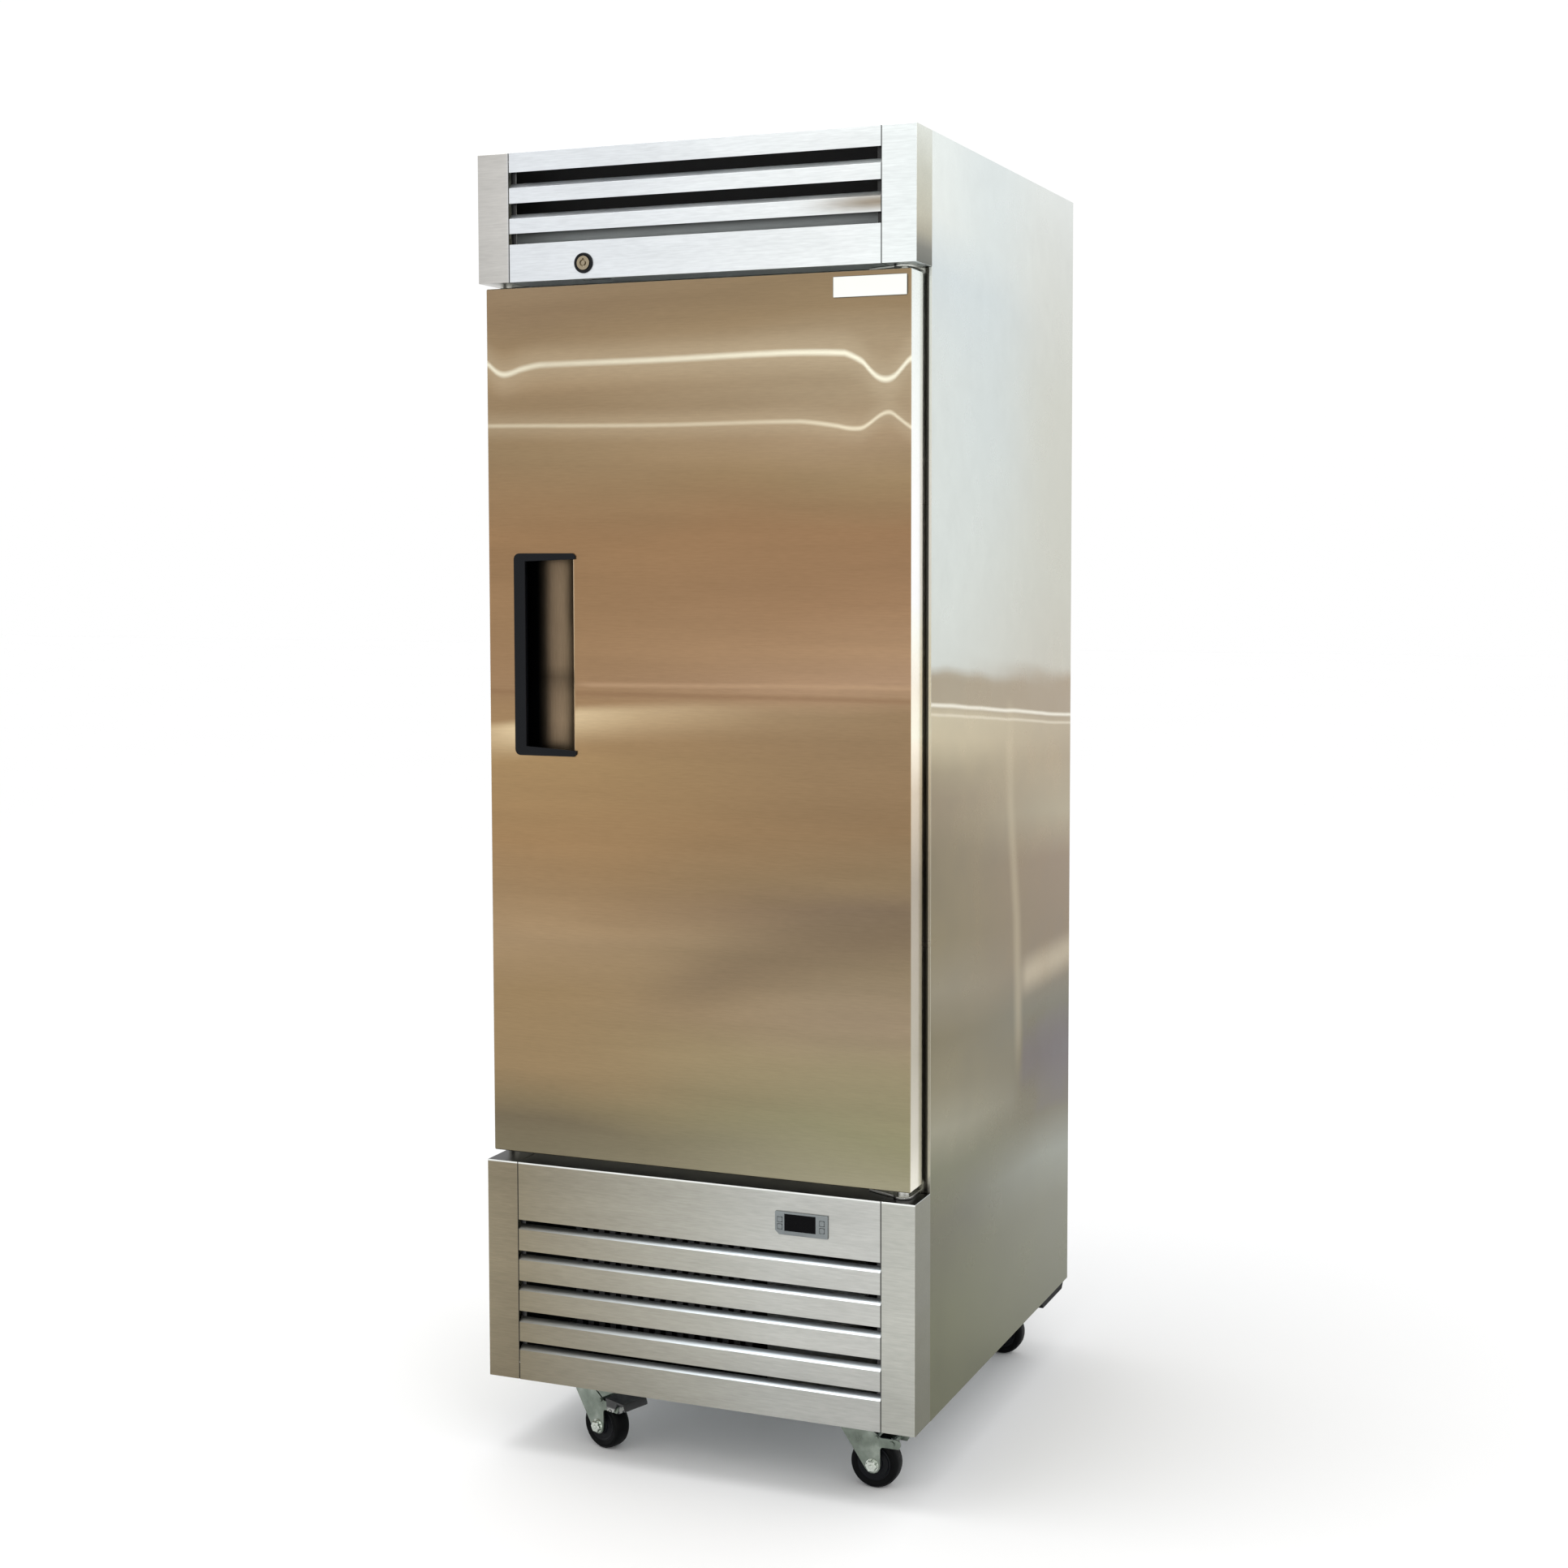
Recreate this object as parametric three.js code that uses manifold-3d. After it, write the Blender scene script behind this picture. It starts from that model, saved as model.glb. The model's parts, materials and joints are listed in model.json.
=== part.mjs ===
// Reach-in refrigerator: one solid door, bottom-mounted machine compartment, four swivel casters.
// Millimetres. X runs across the front (+X is the hinge side), the front faces -Y, +Z is up.
// The origin is on the floor under the middle of the machine.

import * as THREE from "three";
import { mergeVertices } from "three/addons/utils/BufferGeometryUtils.js";
import Module from "manifold-3d";

const wasm = await Module();
wasm.setup();

// ---- driving dimensions -------------------------------------------------------------------

const WIDTH = 700;
const BODY_DEPTH = 816;
const HEIGHT = 1992;
const PROUD = 3; // trim standing out of the front and the back
const CASTER_HEIGHT = 117; // floor to the underside of the body
const FASCIA_DEPTH = 67; // header and grille, in front of the cabinet
const HEADER_BOTTOM = 1800;
const GRILLE_TOP = 458;
const FOAM_BOTTOM = 460;
const POST_WIDTH = 52;
const SHEET = 1.2;
const GAP = 0.3; // between pieces that touch
const FLANGE = 20; // returns folded on the side panels

const SIDE = WIDTH / 2;
const FRONT = -BODY_DEPTH / 2;
const BACK = BODY_DEPTH / 2;
const CABINET_FRONT = FRONT + FASCIA_DEPTH;
const INNER_SIDE = SIDE - SHEET - GAP;

const CAVITY = { side: 300, front: -291, back: 357, bottom: 508, top: 1932, mouthTop: 1765 };

const DOOR = { side: 341, bottom: 472.5, top: 1792.5, front: -402.4, depth: 52 };
const DOOR_BACK = DOOR.front + DOOR.depth;
const DOOR_CORE = { side: 339.3, bottom: 474.2, top: 1790.8, front: -400.9, back: -353.4 };
const DOOR_PIVOT = { x: 321, y: -377.4, pinRadius: 5, holeRadius: 6, engaged: 22 };

const HANDLE = { left: -296.5, right: -192, bottom: 1087, top: 1393.5, bar: 19, proud: 2.5, deep: 32 };

const LOCK = { x: -172, z: 1823, ringRadius: 15.2, plugRadius: 10.4, camReach: 37, camY: -392 };

const CONTROLLER = { left: 133, right: 216, bottom: 393.5, top: 428, deep: 30 };

const SHELF_HEIGHTS = { shelf_lower: 800, shelf_middle: 1080, shelf_upper: 1360 };

const CASTER = { x: 221, y: 319, wheelRadius: 38, wheelWidth: 32, trail: 38 };
// Where each caster trails at rest, in degrees about +Z from +X.
const CASTER_TURN = { front_left: -19, front_right: 0, rear_left: 14, rear_right: 0 };

// ---- materials ----------------------------------------------------------------------------

const finish = (color, roughness, metalness) =>
  new THREE.MeshStandardMaterial({ color, roughness, metalness });

const brushedSteel = () => finish(0xc9cac6, 0.35, 1);
const doorSteel = () => finish(0xa58b6c, 0.3, 1);
const galvanisedSteel = () => finish(0xa9aeb0, 0.5, 0.9);
const zincPlate = () => finish(0x9da393, 0.4, 0.9);
const blackPlastic = () => finish(0x111214, 0.45, 0);
const greyPlastic = () => finish(0x8f9694, 0.5, 0);
const whitePlastic = () => finish(0xeeeeea, 0.4, 0);
const rubber = () => finish(0x121212, 0.7, 0);
const foam = () => finish(0xd9c98f, 0.9, 0);
const blackPaint = () => finish(0x17181a, 0.5, 0.3);
const aluminium = () => finish(0xc4c8cb, 0.4, 1);
const glassBlack = () => finish(0x050607, 0.1, 0);
const chrome = () => finish(0xd8dadb, 0.12, 1);

// ---- solids -------------------------------------------------------------------------------

const GRID = 1 / 1024; // corners are snapped to this, so that flush faces are exactly flush

// A closed geometry with shared vertices and no triangle of zero area, as a manifold solid.
function solid(geometry) {
  const bare = geometry.clone();
  bare.deleteAttribute("normal");
  bare.deleteAttribute("uv");
  const places = bare.attributes.position.array;
  places.forEach((value, i) => {
    places[i] = Math.round(value / GRID) * GRID;
  });
  const merged = mergeVertices(bare, GRID / 2);
  const corners = [];
  const index = merged.index.array;
  for (let i = 0; i < index.length; i += 3) {
    const [a, b, c] = [index[i], index[i + 1], index[i + 2]];
    if (a !== b && b !== c && c !== a) corners.push(a, b, c);
  }
  return new wasm.Manifold(
    new wasm.Mesh({
      numProp: 3,
      vertProperties: new Float32Array(merged.attributes.position.array),
      triVerts: new Uint32Array(corners),
    }),
  );
}

function geometryOf(manifold) {
  const mesh = manifold.asOriginal().simplify(2 * GRID).getMesh();
  const geometry = new THREE.BufferGeometry();
  geometry.setAttribute("position", new THREE.BufferAttribute(mesh.vertProperties, 3));
  geometry.setIndex(new THREE.BufferAttribute(mesh.triVerts, 1));
  return geometry;
}

const join = (...geometries) => geometryOf(geometries.map(solid).reduce((a, b) => a.add(b)));

const cut = (geometry, ...tools) =>
  geometryOf(tools.map(solid).reduce((a, b) => a.subtract(b), solid(geometry)));

function box(x0, x1, y0, y1, z0, z1) {
  const geometry = new THREE.BoxGeometry(x1 - x0, y1 - y0, z1 - z0);
  return geometry.translate((x0 + x1) / 2, (y0 + y1) / 2, (z0 + z1) / 2);
}

// A cylinder between two heights on its axis, through a point across it.
function cylinder(axis, radius, from, to, [u, v], sides = 24) {
  const geometry = new THREE.CylinderGeometry(radius, radius, to - from, sides);
  const middle = (from + to) / 2;
  if (axis === "x") return geometry.rotateZ(-Math.PI / 2).translate(middle, u, v);
  if (axis === "y") return geometry.translate(u, middle, v);
  return geometry.rotateX(Math.PI / 2).translate(u, v, middle);
}

function outline(points) {
  return new THREE.Shape(points.map(([u, v]) => new THREE.Vector2(u, v)));
}

const plainExtrude = (shape, depth) =>
  new THREE.ExtrudeGeometry(shape, { depth, bevelEnabled: false, curveSegments: 3 });

// A (y, z) outline carried along X.
function alongX(shape, x0, x1) {
  const turn = new THREE.Matrix4().set(0, 0, 1, x0, 1, 0, 0, 0, 0, 1, 0, 0, 0, 0, 0, 1);
  return plainExtrude(shape, x1 - x0).applyMatrix4(turn);
}

// An (x, z) outline carried along Y.
function alongY(shape, y0, y1) {
  const turn = new THREE.Matrix4().set(1, 0, 0, 0, 0, 0, -1, y1, 0, 1, 0, 0, 0, 0, 0, 1);
  return plainExtrude(shape, y1 - y0).applyMatrix4(turn);
}

// An (x, y) outline carried along Z.
const alongZ = (shape, z0, z1) => plainExtrude(shape, z1 - z0).translate(0, 0, z0);

function roundedRectangle(u0, u1, v0, v1, radius) {
  const shape = new THREE.Shape();
  shape.absarc(u1 - radius, v0 + radius, radius, -Math.PI / 2, 0, false);
  shape.absarc(u1 - radius, v1 - radius, radius, 0, Math.PI / 2, false);
  shape.absarc(u0 + radius, v1 - radius, radius, Math.PI / 2, Math.PI, false);
  shape.absarc(u0 + radius, v0 + radius, radius, Math.PI, 1.5 * Math.PI, false);
  return shape;
}

function node(name, geometry, material) {
  const mesh = new THREE.Mesh(geometry, material);
  mesh.name = name;
  return mesh;
}

const mirrored = (side, [x0, x1]) => (side > 0 ? [x0, x1] : [-x1, -x0]);

// ---- cabinet shell ------------------------------------------------------------------------

// One side sheet with its front and rear edges folded inwards.
function sidePanel(side) {
  const [x0, x1] = mirrored(side, [SIDE - SHEET, SIDE]);
  const [f0, f1] = mirrored(side, [SIDE - FLANGE, SIDE]);
  return join(
    box(x0, x1, CABINET_FRONT, BACK, CASTER_HEIGHT, HEIGHT),
    box(f0, f1, CABINET_FRONT, CABINET_FRONT + SHEET, CASTER_HEIGHT, HEIGHT),
    box(f0, f1, BACK - SHEET, BACK, CASTER_HEIGHT, HEIGHT),
  );
}

function topPanel() {
  const inset = SHEET + GAP;
  return box(-INNER_SIDE, INNER_SIDE, CABINET_FRONT + inset, BACK - inset, HEIGHT - SHEET, HEIGHT);
}

function backPanel() {
  const half = SIDE - FLANGE - GAP;
  return box(-half, half, BACK - SHEET, BACK, FOAM_BOTTOM, HEIGHT - SHEET - GAP);
}

// The foamed walls: a block with the cold space and its mouth cut out of it.
function insulation() {
  const inset = SHEET + GAP;
  const front = CABINET_FRONT + inset;
  const { side, bottom, top, back, mouthTop } = CAVITY;
  return cut(
    box(-INNER_SIDE, INNER_SIDE, front, BACK - inset, FOAM_BOTTOM, HEIGHT - inset),
    box(-side, side, CAVITY.front, back, bottom, top),
    box(-side, side, front - 10, CAVITY.front + 10, bottom, mouthTop),
  );
}

// The folded sheet lining of the cold space, open at its mouth.
function innerLiner() {
  const front = CABINET_FRONT + SHEET + GAP;
  const hollow = (inset, mouth) => [
    box(
      -CAVITY.side + inset, CAVITY.side - inset, CAVITY.front + inset,
      CAVITY.back - inset, CAVITY.bottom + inset, CAVITY.top - inset,
    ),
    box(
      -CAVITY.side + inset, CAVITY.side - inset, mouth, CAVITY.front + 10,
      CAVITY.bottom + inset, CAVITY.mouthTop - inset,
    ),
  ];
  return cut(join(...hollow(GAP, front)), ...hollow(GAP + SHEET, front - 10));
}

// The flat stainless frame around the mouth, which the door seal lies on.
function faceFrame() {
  const half = SIDE - FLANGE - GAP;
  const inset = GAP + SHEET;
  const y1 = CABINET_FRONT + SHEET;
  return cut(
    box(-half, half, CABINET_FRONT, y1, FOAM_BOTTOM, HEIGHT - SHEET - GAP),
    box(
      -CAVITY.side + inset, CAVITY.side - inset, CABINET_FRONT - 1, y1 + 1,
      CAVITY.bottom + inset, CAVITY.mouthTop - inset,
    ),
  );
}

// ---- header and lower grille --------------------------------------------------------------

// A corner post: front face, side return and the flanges that close its two ends.
function cornerPost(side, z0, z1) {
  const [x0, x1] = mirrored(side, [SIDE - POST_WIDTH, SIDE]);
  const [s0, s1] = mirrored(side, [SIDE - SHEET, SIDE]);
  const rear = CABINET_FRONT - GAP;
  const lid = CABINET_FRONT - 5;
  return join(
    box(x0, x1, FRONT, FRONT + SHEET, z0, z1),
    box(s0, s1, FRONT, rear, z0, z1),
    box(x0, x1, FRONT, lid, z0, z0 + SHEET),
    box(x0, x1, FRONT, lid, z1 - SHEET, z1),
  );
}

const PANEL_HALF = SIDE - POST_WIDTH - 1;
const LIP = { rise: 7.5, back: 8.5 }; // the bent upper edge of a louvre
const STRIP_WIDTH = 8;

// A flat band of the panel whose upper edge is bent back and up.
function louvreBand(z0, faceTop) {
  const y = FRONT;
  return alongX(
    outline([
      [y, z0],
      [y + SHEET, z0],
      [y + SHEET, faceTop - 0.5],
      [y + LIP.back + SHEET, faceTop - 0.5 + LIP.rise],
      [y + LIP.back, faceTop + LIP.rise],
      [y, faceTop],
    ]),
    -PANEL_HALF, PANEL_HALF,
  );
}

const plainBand = (z0, z1) => box(-PANEL_HALF, PANEL_HALF, FRONT, FRONT + SHEET, z0, z1);

const depthFlange = (z) =>
  box(-PANEL_HALF, PANEL_HALF, FRONT, CABINET_FRONT - 5, z, z + SHEET);

// The bands hang between two upright strips, set back to the ends of the bent edges.
function louvrePanel(bands, z0, z1) {
  const y = FRONT + LIP.back;
  const strips = [-PANEL_HALF, PANEL_HALF - STRIP_WIDTH].map((x) =>
    box(x, x + STRIP_WIDTH, y, y + SHEET, z0, z1),
  );
  return join(...bands, ...strips, depthFlange(z0), depthFlange(z1 - SHEET));
}

const HEADER_SLOTS = [
  [1856, 1872],
  [1894, 1917],
  [1939.5, 1963],
];
const LOCK_BORE = LOCK.plugRadius + 0.6;
const LOCK_NECK = LOCK_BORE + 1.7;

function headerLouvre() {
  const bands = [
    plainBand(HEADER_BOTTOM, HEADER_SLOTS[0][0]),
    louvreBand(HEADER_SLOTS[0][1], HEADER_SLOTS[1][0]),
    louvreBand(HEADER_SLOTS[1][1], HEADER_SLOTS[2][0]),
    plainBand(HEADER_SLOTS[2][1], HEIGHT),
  ];
  const { x, z, camReach, camY } = LOCK;
  return cut(
    louvrePanel(bands, HEADER_BOTTOM, HEIGHT),
    cylinder("y", LOCK_NECK + GAP, FRONT - 1, FRONT + 5, [x, z]),
    box(x - 10, x + camReach, camY - 5, camY + 5, HEADER_BOTTOM - 1, HEADER_BOTTOM + 3),
  );
}

const GRILLE_SLOTS = [
  [163, 177],
  [207, 225],
  [257, 272.5],
  [305, 320],
  [353, 368],
];

function grilleLouvre() {
  const faces = GRILLE_SLOTS.slice(1).map(([slotBottom], i) => {
    const faceBottom = GRILLE_SLOTS[i][1];
    return louvreBand(faceBottom, slotBottom);
  });
  const bands = [
    louvreBand(CASTER_HEIGHT, GRILLE_SLOTS[0][0]),
    ...faces,
    plainBand(GRILLE_SLOTS.at(-1)[1], GRILLE_TOP),
  ];
  const { left, right, bottom, top } = CONTROLLER;
  return cut(
    louvrePanel(bands, CASTER_HEIGHT, GRILLE_TOP),
    box(left + 4, right - 4, FRONT - 1, FRONT + 5, bottom + 3, top - 3),
  );
}

// ---- lock ---------------------------------------------------------------------------------

function lockHousing() {
  const { x, z, ringRadius } = LOCK;
  const y = FRONT - GAP;
  return cut(
    join(
      cylinder("y", ringRadius, FRONT - PROUD, y, [x, z]),
      cylinder("y", LOCK_NECK, y - 1, FRONT + 12, [x, z]),
    ),
    cylinder("y", LOCK_BORE, FRONT - PROUD - 1, FRONT + 13, [x, z]),
  );
}

const KEYWAY = { inner: 3.4, outer: 5.4, deep: 4 };

// The plug with its ring-shaped keyway, and the cam behind it, which lies along +X when unlocked.
function lockCylinder() {
  const { x, z, plugRadius, camReach, camY } = LOCK;
  const { inner, outer, deep } = KEYWAY;
  const front = FRONT - PROUD;
  const length = camY - front;
  const profile = [
    [0, 0],
    [inner, 0],
    [inner, deep],
    [outer, deep],
    [outer, 0],
    [plugRadius, 0],
    [plugRadius, length],
    [0, length],
  ].map(([r, h]) => new THREE.Vector2(r, h));
  const plug = new THREE.LatheGeometry(profile, 24).translate(x, front, z);
  const notch = box(x - 1, x + 1, front - 1, front + deep - 1, z + inner + 1, z + outer + 1.6);
  const cam = box(x - 6, x + camReach, camY - 1.5, camY + 1.5, z - 6, z + 6);
  return join(cut(plug, notch), cam);
}

// ---- controller ---------------------------------------------------------------------------

const BUTTON = { halfWidth: 3.5, halfHeight: 3.6, clearance: 0.5, thick: 2.4, travel: 1 };

function buttonPlaces() {
  const { left, right, bottom, top } = CONTROLLER;
  const columns = { left: left + 7.5, right: right - 9 };
  const rows = { upper: top - 12, lower: bottom + 12 };
  return Object.entries(columns).flatMap(([columnName, x]) =>
    Object.entries(rows).map(([rowName, z]) => ({ name: `button_${columnName}_${rowName}`, x, z })),
  );
}

const WINDOW = { left: 148, right: 197, bottom: 400, top: 425 };

function controllerBezel() {
  const { left, right, bottom, top, deep } = CONTROLLER;
  const y0 = FRONT - PROUD;
  const plate = alongY(
    outline([
      [left + 6, bottom],
      [right, bottom],
      [right, top],
      [left, top],
      [left, bottom + 6],
    ]),
    y0, FRONT - GAP,
  );
  const body = box(left + 5, right - 5, FRONT - 1, FRONT + deep, bottom + 4, top - 4);
  const pockets = buttonPlaces().map(({ x, z }) =>
    box(
      x - BUTTON.halfWidth - BUTTON.clearance, x + BUTTON.halfWidth + BUTTON.clearance,
      y0 - 1, y0 + BUTTON.thick + 2 * BUTTON.travel,
      z - BUTTON.halfHeight - BUTTON.clearance, z + BUTTON.halfHeight + BUTTON.clearance,
    ),
  );
  const windowPocket = box(
    WINDOW.left - GAP, WINDOW.right + GAP, y0 - 1, y0 + 2,
    WINDOW.bottom - GAP, WINDOW.top + GAP,
  );
  return cut(join(plate, body), windowPocket, ...pockets);
}

function controllerWindow() {
  const y0 = FRONT - PROUD + 0.5;
  return box(WINDOW.left, WINDOW.right, y0, y0 + 1.2, WINDOW.bottom, WINDOW.top);
}

function controllerButton({ x, z }) {
  const y0 = FRONT - PROUD;
  const { halfWidth, halfHeight, thick } = BUTTON;
  const cap = roundedRectangle(x - halfWidth, x + halfWidth, z - halfHeight, z + halfHeight, 1.5);
  return alongY(cap, y0, y0 + thick);
}

// ---- door ---------------------------------------------------------------------------------

// The recess behind the handle, as a block, wider than the recess itself by a margin.
function handleRecess(margin) {
  const { left, right, bottom, top, deep } = HANDLE;
  return box(
    left + 2.5 - margin, right - 3 + margin, DOOR.front - 5, DOOR.front + deep + margin,
    bottom + 3 - margin, top - 3 + margin,
  );
}

function hingeHoles(radius) {
  const { x, y, engaged } = DOOR_PIVOT;
  return [
    cylinder("z", radius, DOOR.bottom - 1, DOOR.bottom + engaged + 3, [x, y]),
    cylinder("z", radius, DOOR.top - engaged - 3, DOOR.top + 1, [x, y]),
  ];
}

// The slot in the door's top edge that the lock's cam drops into.
function strikeSlot(margin) {
  const { x, camReach, camY } = LOCK;
  return box(
    x - 9 - margin, x + camReach - 6 + margin, camY - 4 - margin, camY + 4 + margin,
    DOOR.top - 12 - margin, DOOR.top + 1,
  );
}

// The outer pan: front sheet, four edges and a narrow return around the back.
function doorSkin() {
  const { side, bottom, top, front } = DOOR;
  const rim = 16;
  return cut(
    box(-side, side, front, DOOR_BACK, bottom, top),
    box(-side + SHEET, side - SHEET, front + SHEET, DOOR_BACK - SHEET, bottom + SHEET, top - SHEET),
    box(-side + rim, side - rim, DOOR_BACK - 10, DOOR_BACK + 1, bottom + rim, top - rim),
    handleRecess(0),
    strikeSlot(0),
    ...hingeHoles(DOOR_PIVOT.holeRadius),
  );
}

function doorCore() {
  const { side, bottom, top, front, back } = DOOR_CORE;
  return cut(
    box(-side, side, front, back, bottom, top),
    handleRecess(2.5),
    strikeSlot(1),
    ...hingeHoles(DOOR_PIVOT.holeRadius + 1),
  );
}

// The inner pan closes the back of the door, with a shallow raised field inside the seal.
function doorInner() {
  const rim = 16 + GAP;
  const field = 44;
  const { side, bottom, top } = DOOR;
  const back = DOOR_BACK;
  return join(
    box(-side + rim, side - rim, DOOR_CORE.back + GAP, back, bottom + rim, top - rim),
    box(-side + field, side - field, back - 1, back + 6, bottom + field, top - field),
  );
}

const GASKET = { outer: 320, inner: 300, bottom: 489, top: 1776, width: 18 };

function doorGasket() {
  const y0 = DOOR_BACK + GAP;
  const y1 = CABINET_FRONT - GAP;
  const { outer, inner, bottom, top, width } = GASKET;
  return cut(
    box(-outer, outer, y0, y1, bottom, top),
    box(-inner, inner, y0 - 1, y1 + 1, bottom + width, top - width),
  );
}

// The C-shaped black surround: a flange on the door's face and walls into the recess.
function handleFrame() {
  const { left, right, bottom, top, bar, proud, deep } = HANDLE;
  const face = new THREE.Shape();
  face.moveTo(right - 4, bottom);
  face.lineTo(right, bottom + 4);
  face.lineTo(right, bottom + 9);
  face.lineTo(left + bar, bottom + 14);
  face.lineTo(left + bar, top - 12);
  face.lineTo(right, top - 9);
  face.lineTo(right, top - 4);
  face.lineTo(right - 4, top);
  face.absarc(left + 9, top - 9, 9, Math.PI / 2, Math.PI, false);
  face.absarc(left + 9, bottom + 9, 9, Math.PI, 1.5 * Math.PI, false);
  const y0 = DOOR.front - GAP - proud;
  const wallBack = DOOR.front + deep - GAP;
  const wallRight = right - 3 - GAP;
  const wallLeft = left + 2.5 + GAP;
  return join(
    alongY(face, y0, DOOR.front - GAP),
    box(wallLeft, wallLeft + 2, DOOR.front - 1, wallBack, bottom + 3 + GAP, top - 3 - GAP),
    box(wallLeft, wallRight, DOOR.front - 1, wallBack, bottom + 3 + GAP, bottom + 5 + GAP),
    box(wallLeft, wallRight, DOOR.front - 1, wallBack, top - 5 - GAP, top - 3 - GAP),
  );
}

// The curved sheet that rises from the bottom of the recess to the door's face.
function handleScoop() {
  const x1 = HANDLE.right - 3 - GAP;
  const x0 = HANDLE.left + 2.5 + 2 + 2 * GAP;
  const y1 = DOOR.front + HANDLE.deep - GAP;
  const flat = 22;
  const start = x0 + flat;
  const across = x1 - start;
  const rise = y1 - SHEET - DOOR.front - GAP;
  const steps = 12;
  const curve = (offset) =>
    Array.from({ length: steps + 1 }, (_, i) => {
      const t = (i / steps) * (Math.PI / 2);
      return [start + across * Math.sin(t), y1 - offset - rise * (1 - Math.cos(t))];
    });
  const lower = curve(0);
  const upper = curve(SHEET).map(([x, y], i) => [x - SHEET * Math.sin((i / steps) * 1.4), y]);
  const shape = outline([[x0, y1], ...lower, ...upper.reverse(), [x0, y1 - SHEET]]);
  const inset = 5 + 2 * GAP;
  return alongZ(shape, HANDLE.bottom + inset, HANDLE.top - inset);
}

const BADGE = { left: 222.5, right: 335, bottom: 1754.7, top: 1785, corner: 3, thick: 1.2 };

function badge() {
  const { left, right, bottom, top, corner, thick } = BADGE;
  const plate = roundedRectangle(left, right, bottom, top, corner);
  return alongY(plate, DOOR.front - GAP - thick, DOOR.front - GAP);
}

// ---- hinges -------------------------------------------------------------------------------

const HINGE = { left: 262, right: 335, shoulder: -362, knuckle: 14, wall: 3 };

// A bracket screwed to the cabinet front, reaching out to the pin that the door turns on.
function hingeBracket(z0, z1, wallZ0, wallZ1, pinZ0, pinZ1) {
  const { x, y, pinRadius } = DOOR_PIVOT;
  const { left, right, shoulder, knuckle, wall } = HINGE;
  const back = CABINET_FRONT - GAP;
  const arm = new THREE.Shape();
  arm.moveTo(left, back);
  arm.lineTo(left, shoulder);
  arm.lineTo(x - knuckle, y - 4);
  arm.absarc(x, y, knuckle, Math.PI + 0.3, 2 * Math.PI, false);
  arm.lineTo(right, back);
  return join(
    alongZ(arm, z0, z1),
    box(left, right, back - wall, back, wallZ0, wallZ1),
    cylinder("z", pinRadius, pinZ0, pinZ1, [x, y], 20),
  );
}

function hingeTop() {
  const z1 = HEADER_BOTTOM - GAP;
  return hingeBracket(z1 - 3.5, z1, z1 - 3.5, z1 + 45, DOOR.top - DOOR_PIVOT.engaged, z1 - 1);
}

function hingeBottom() {
  const z0 = GRILLE_TOP + GAP;
  const bush = cylinder("z", 9, z0 + 2, DOOR.bottom - 0.6, [DOOR_PIVOT.x, DOOR_PIVOT.y]);
  const bracket = hingeBracket(z0, z0 + 4, z0 - 50, z0 + 4, z0 + 1, DOOR.bottom + DOOR_PIVOT.engaged);
  return join(bracket, bush);
}

// ---- machine compartment ------------------------------------------------------------------

function basePan() {
  const y0 = CABINET_FRONT + SHEET + GAP;
  const y1 = BACK - SHEET - GAP;
  const z0 = CASTER_HEIGHT;
  return join(
    box(-INNER_SIDE, INNER_SIDE, y0, y1, z0, z0 + 2),
    box(-INNER_SIDE, INNER_SIDE, y0, y0 + 2, z0, z0 + 28),
    box(-INNER_SIDE, INNER_SIDE, y1 - 2, y1, z0, z0 + 28),
  );
}

// The rear cover lies on the back edges and stands proud by its pressed louvres.
function rearCover() {
  const y0 = BACK + GAP;
  const y1 = y0 + SHEET;
  const plate = box(-342, 342, y0, y1, CASTER_HEIGHT + 8, GRILLE_TOP);
  const columns = [-300, 24];
  const rows = Array.from({ length: 6 }, (_, i) => 190 + i * 36);
  const places = columns.flatMap((x) => rows.map((z) => [x, z]));
  const slots = places.map(([x, z]) => box(x, x + 276, y0 - 1, y1 + 1, z, z + 11));
  const hoods = places.map(([x, z]) =>
    alongX(
      outline([
        [y1 - 0.6, z + 11],
        [BACK + PROUD, z + 4],
        [BACK + PROUD, z + 5.2],
        [y1 - 0.2, z + 14],
      ]),
      x, x + 276,
    ),
  );
  return geometryOf(hoods.map(solid).reduce((a, b) => a.add(b), solid(cut(plate, ...slots))));
}

const COMPRESSOR = { x: 170, y: 120, foot: 16, plateX: 92, plateY: 76, boltX: 78, boltY: 62 };

// A welded hermetic shell on a foot plate with four rubber-mounted feet.
function compressor() {
  const profile = [
    [0, 0],
    [70, 0],
    [84, 12],
    [86, 80],
    [84, 88],
    [84, 140],
    [72, 172],
    [40, 188],
    [0, 192],
  ].map(([r, h]) => new THREE.Vector2(r, h));
  const floor = CASTER_HEIGHT + 2 + GAP;
  const { x, y, foot, plateX, plateY, boltX, boltY } = COMPRESSOR;
  const shell = new THREE.LatheGeometry(profile, 20).rotateX(Math.PI / 2).translate(x, y, floor + foot);
  const feet = [-boltX, boltX].flatMap((dx) =>
    [-boltY, boltY].map((dy) => cylinder("z", 11, floor, floor + foot - 1, [x + dx, y + dy], 10)),
  );
  const plate = box(x - plateX, x + plateX, y - plateY, y + plateY, floor + foot - 2, floor + foot + 3);
  return join(shell, plate, ...feet);
}

const CONDENSER = { left: -240, right: 60, front: -326, depth: 56, bottom: 150, top: 396 };

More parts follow.
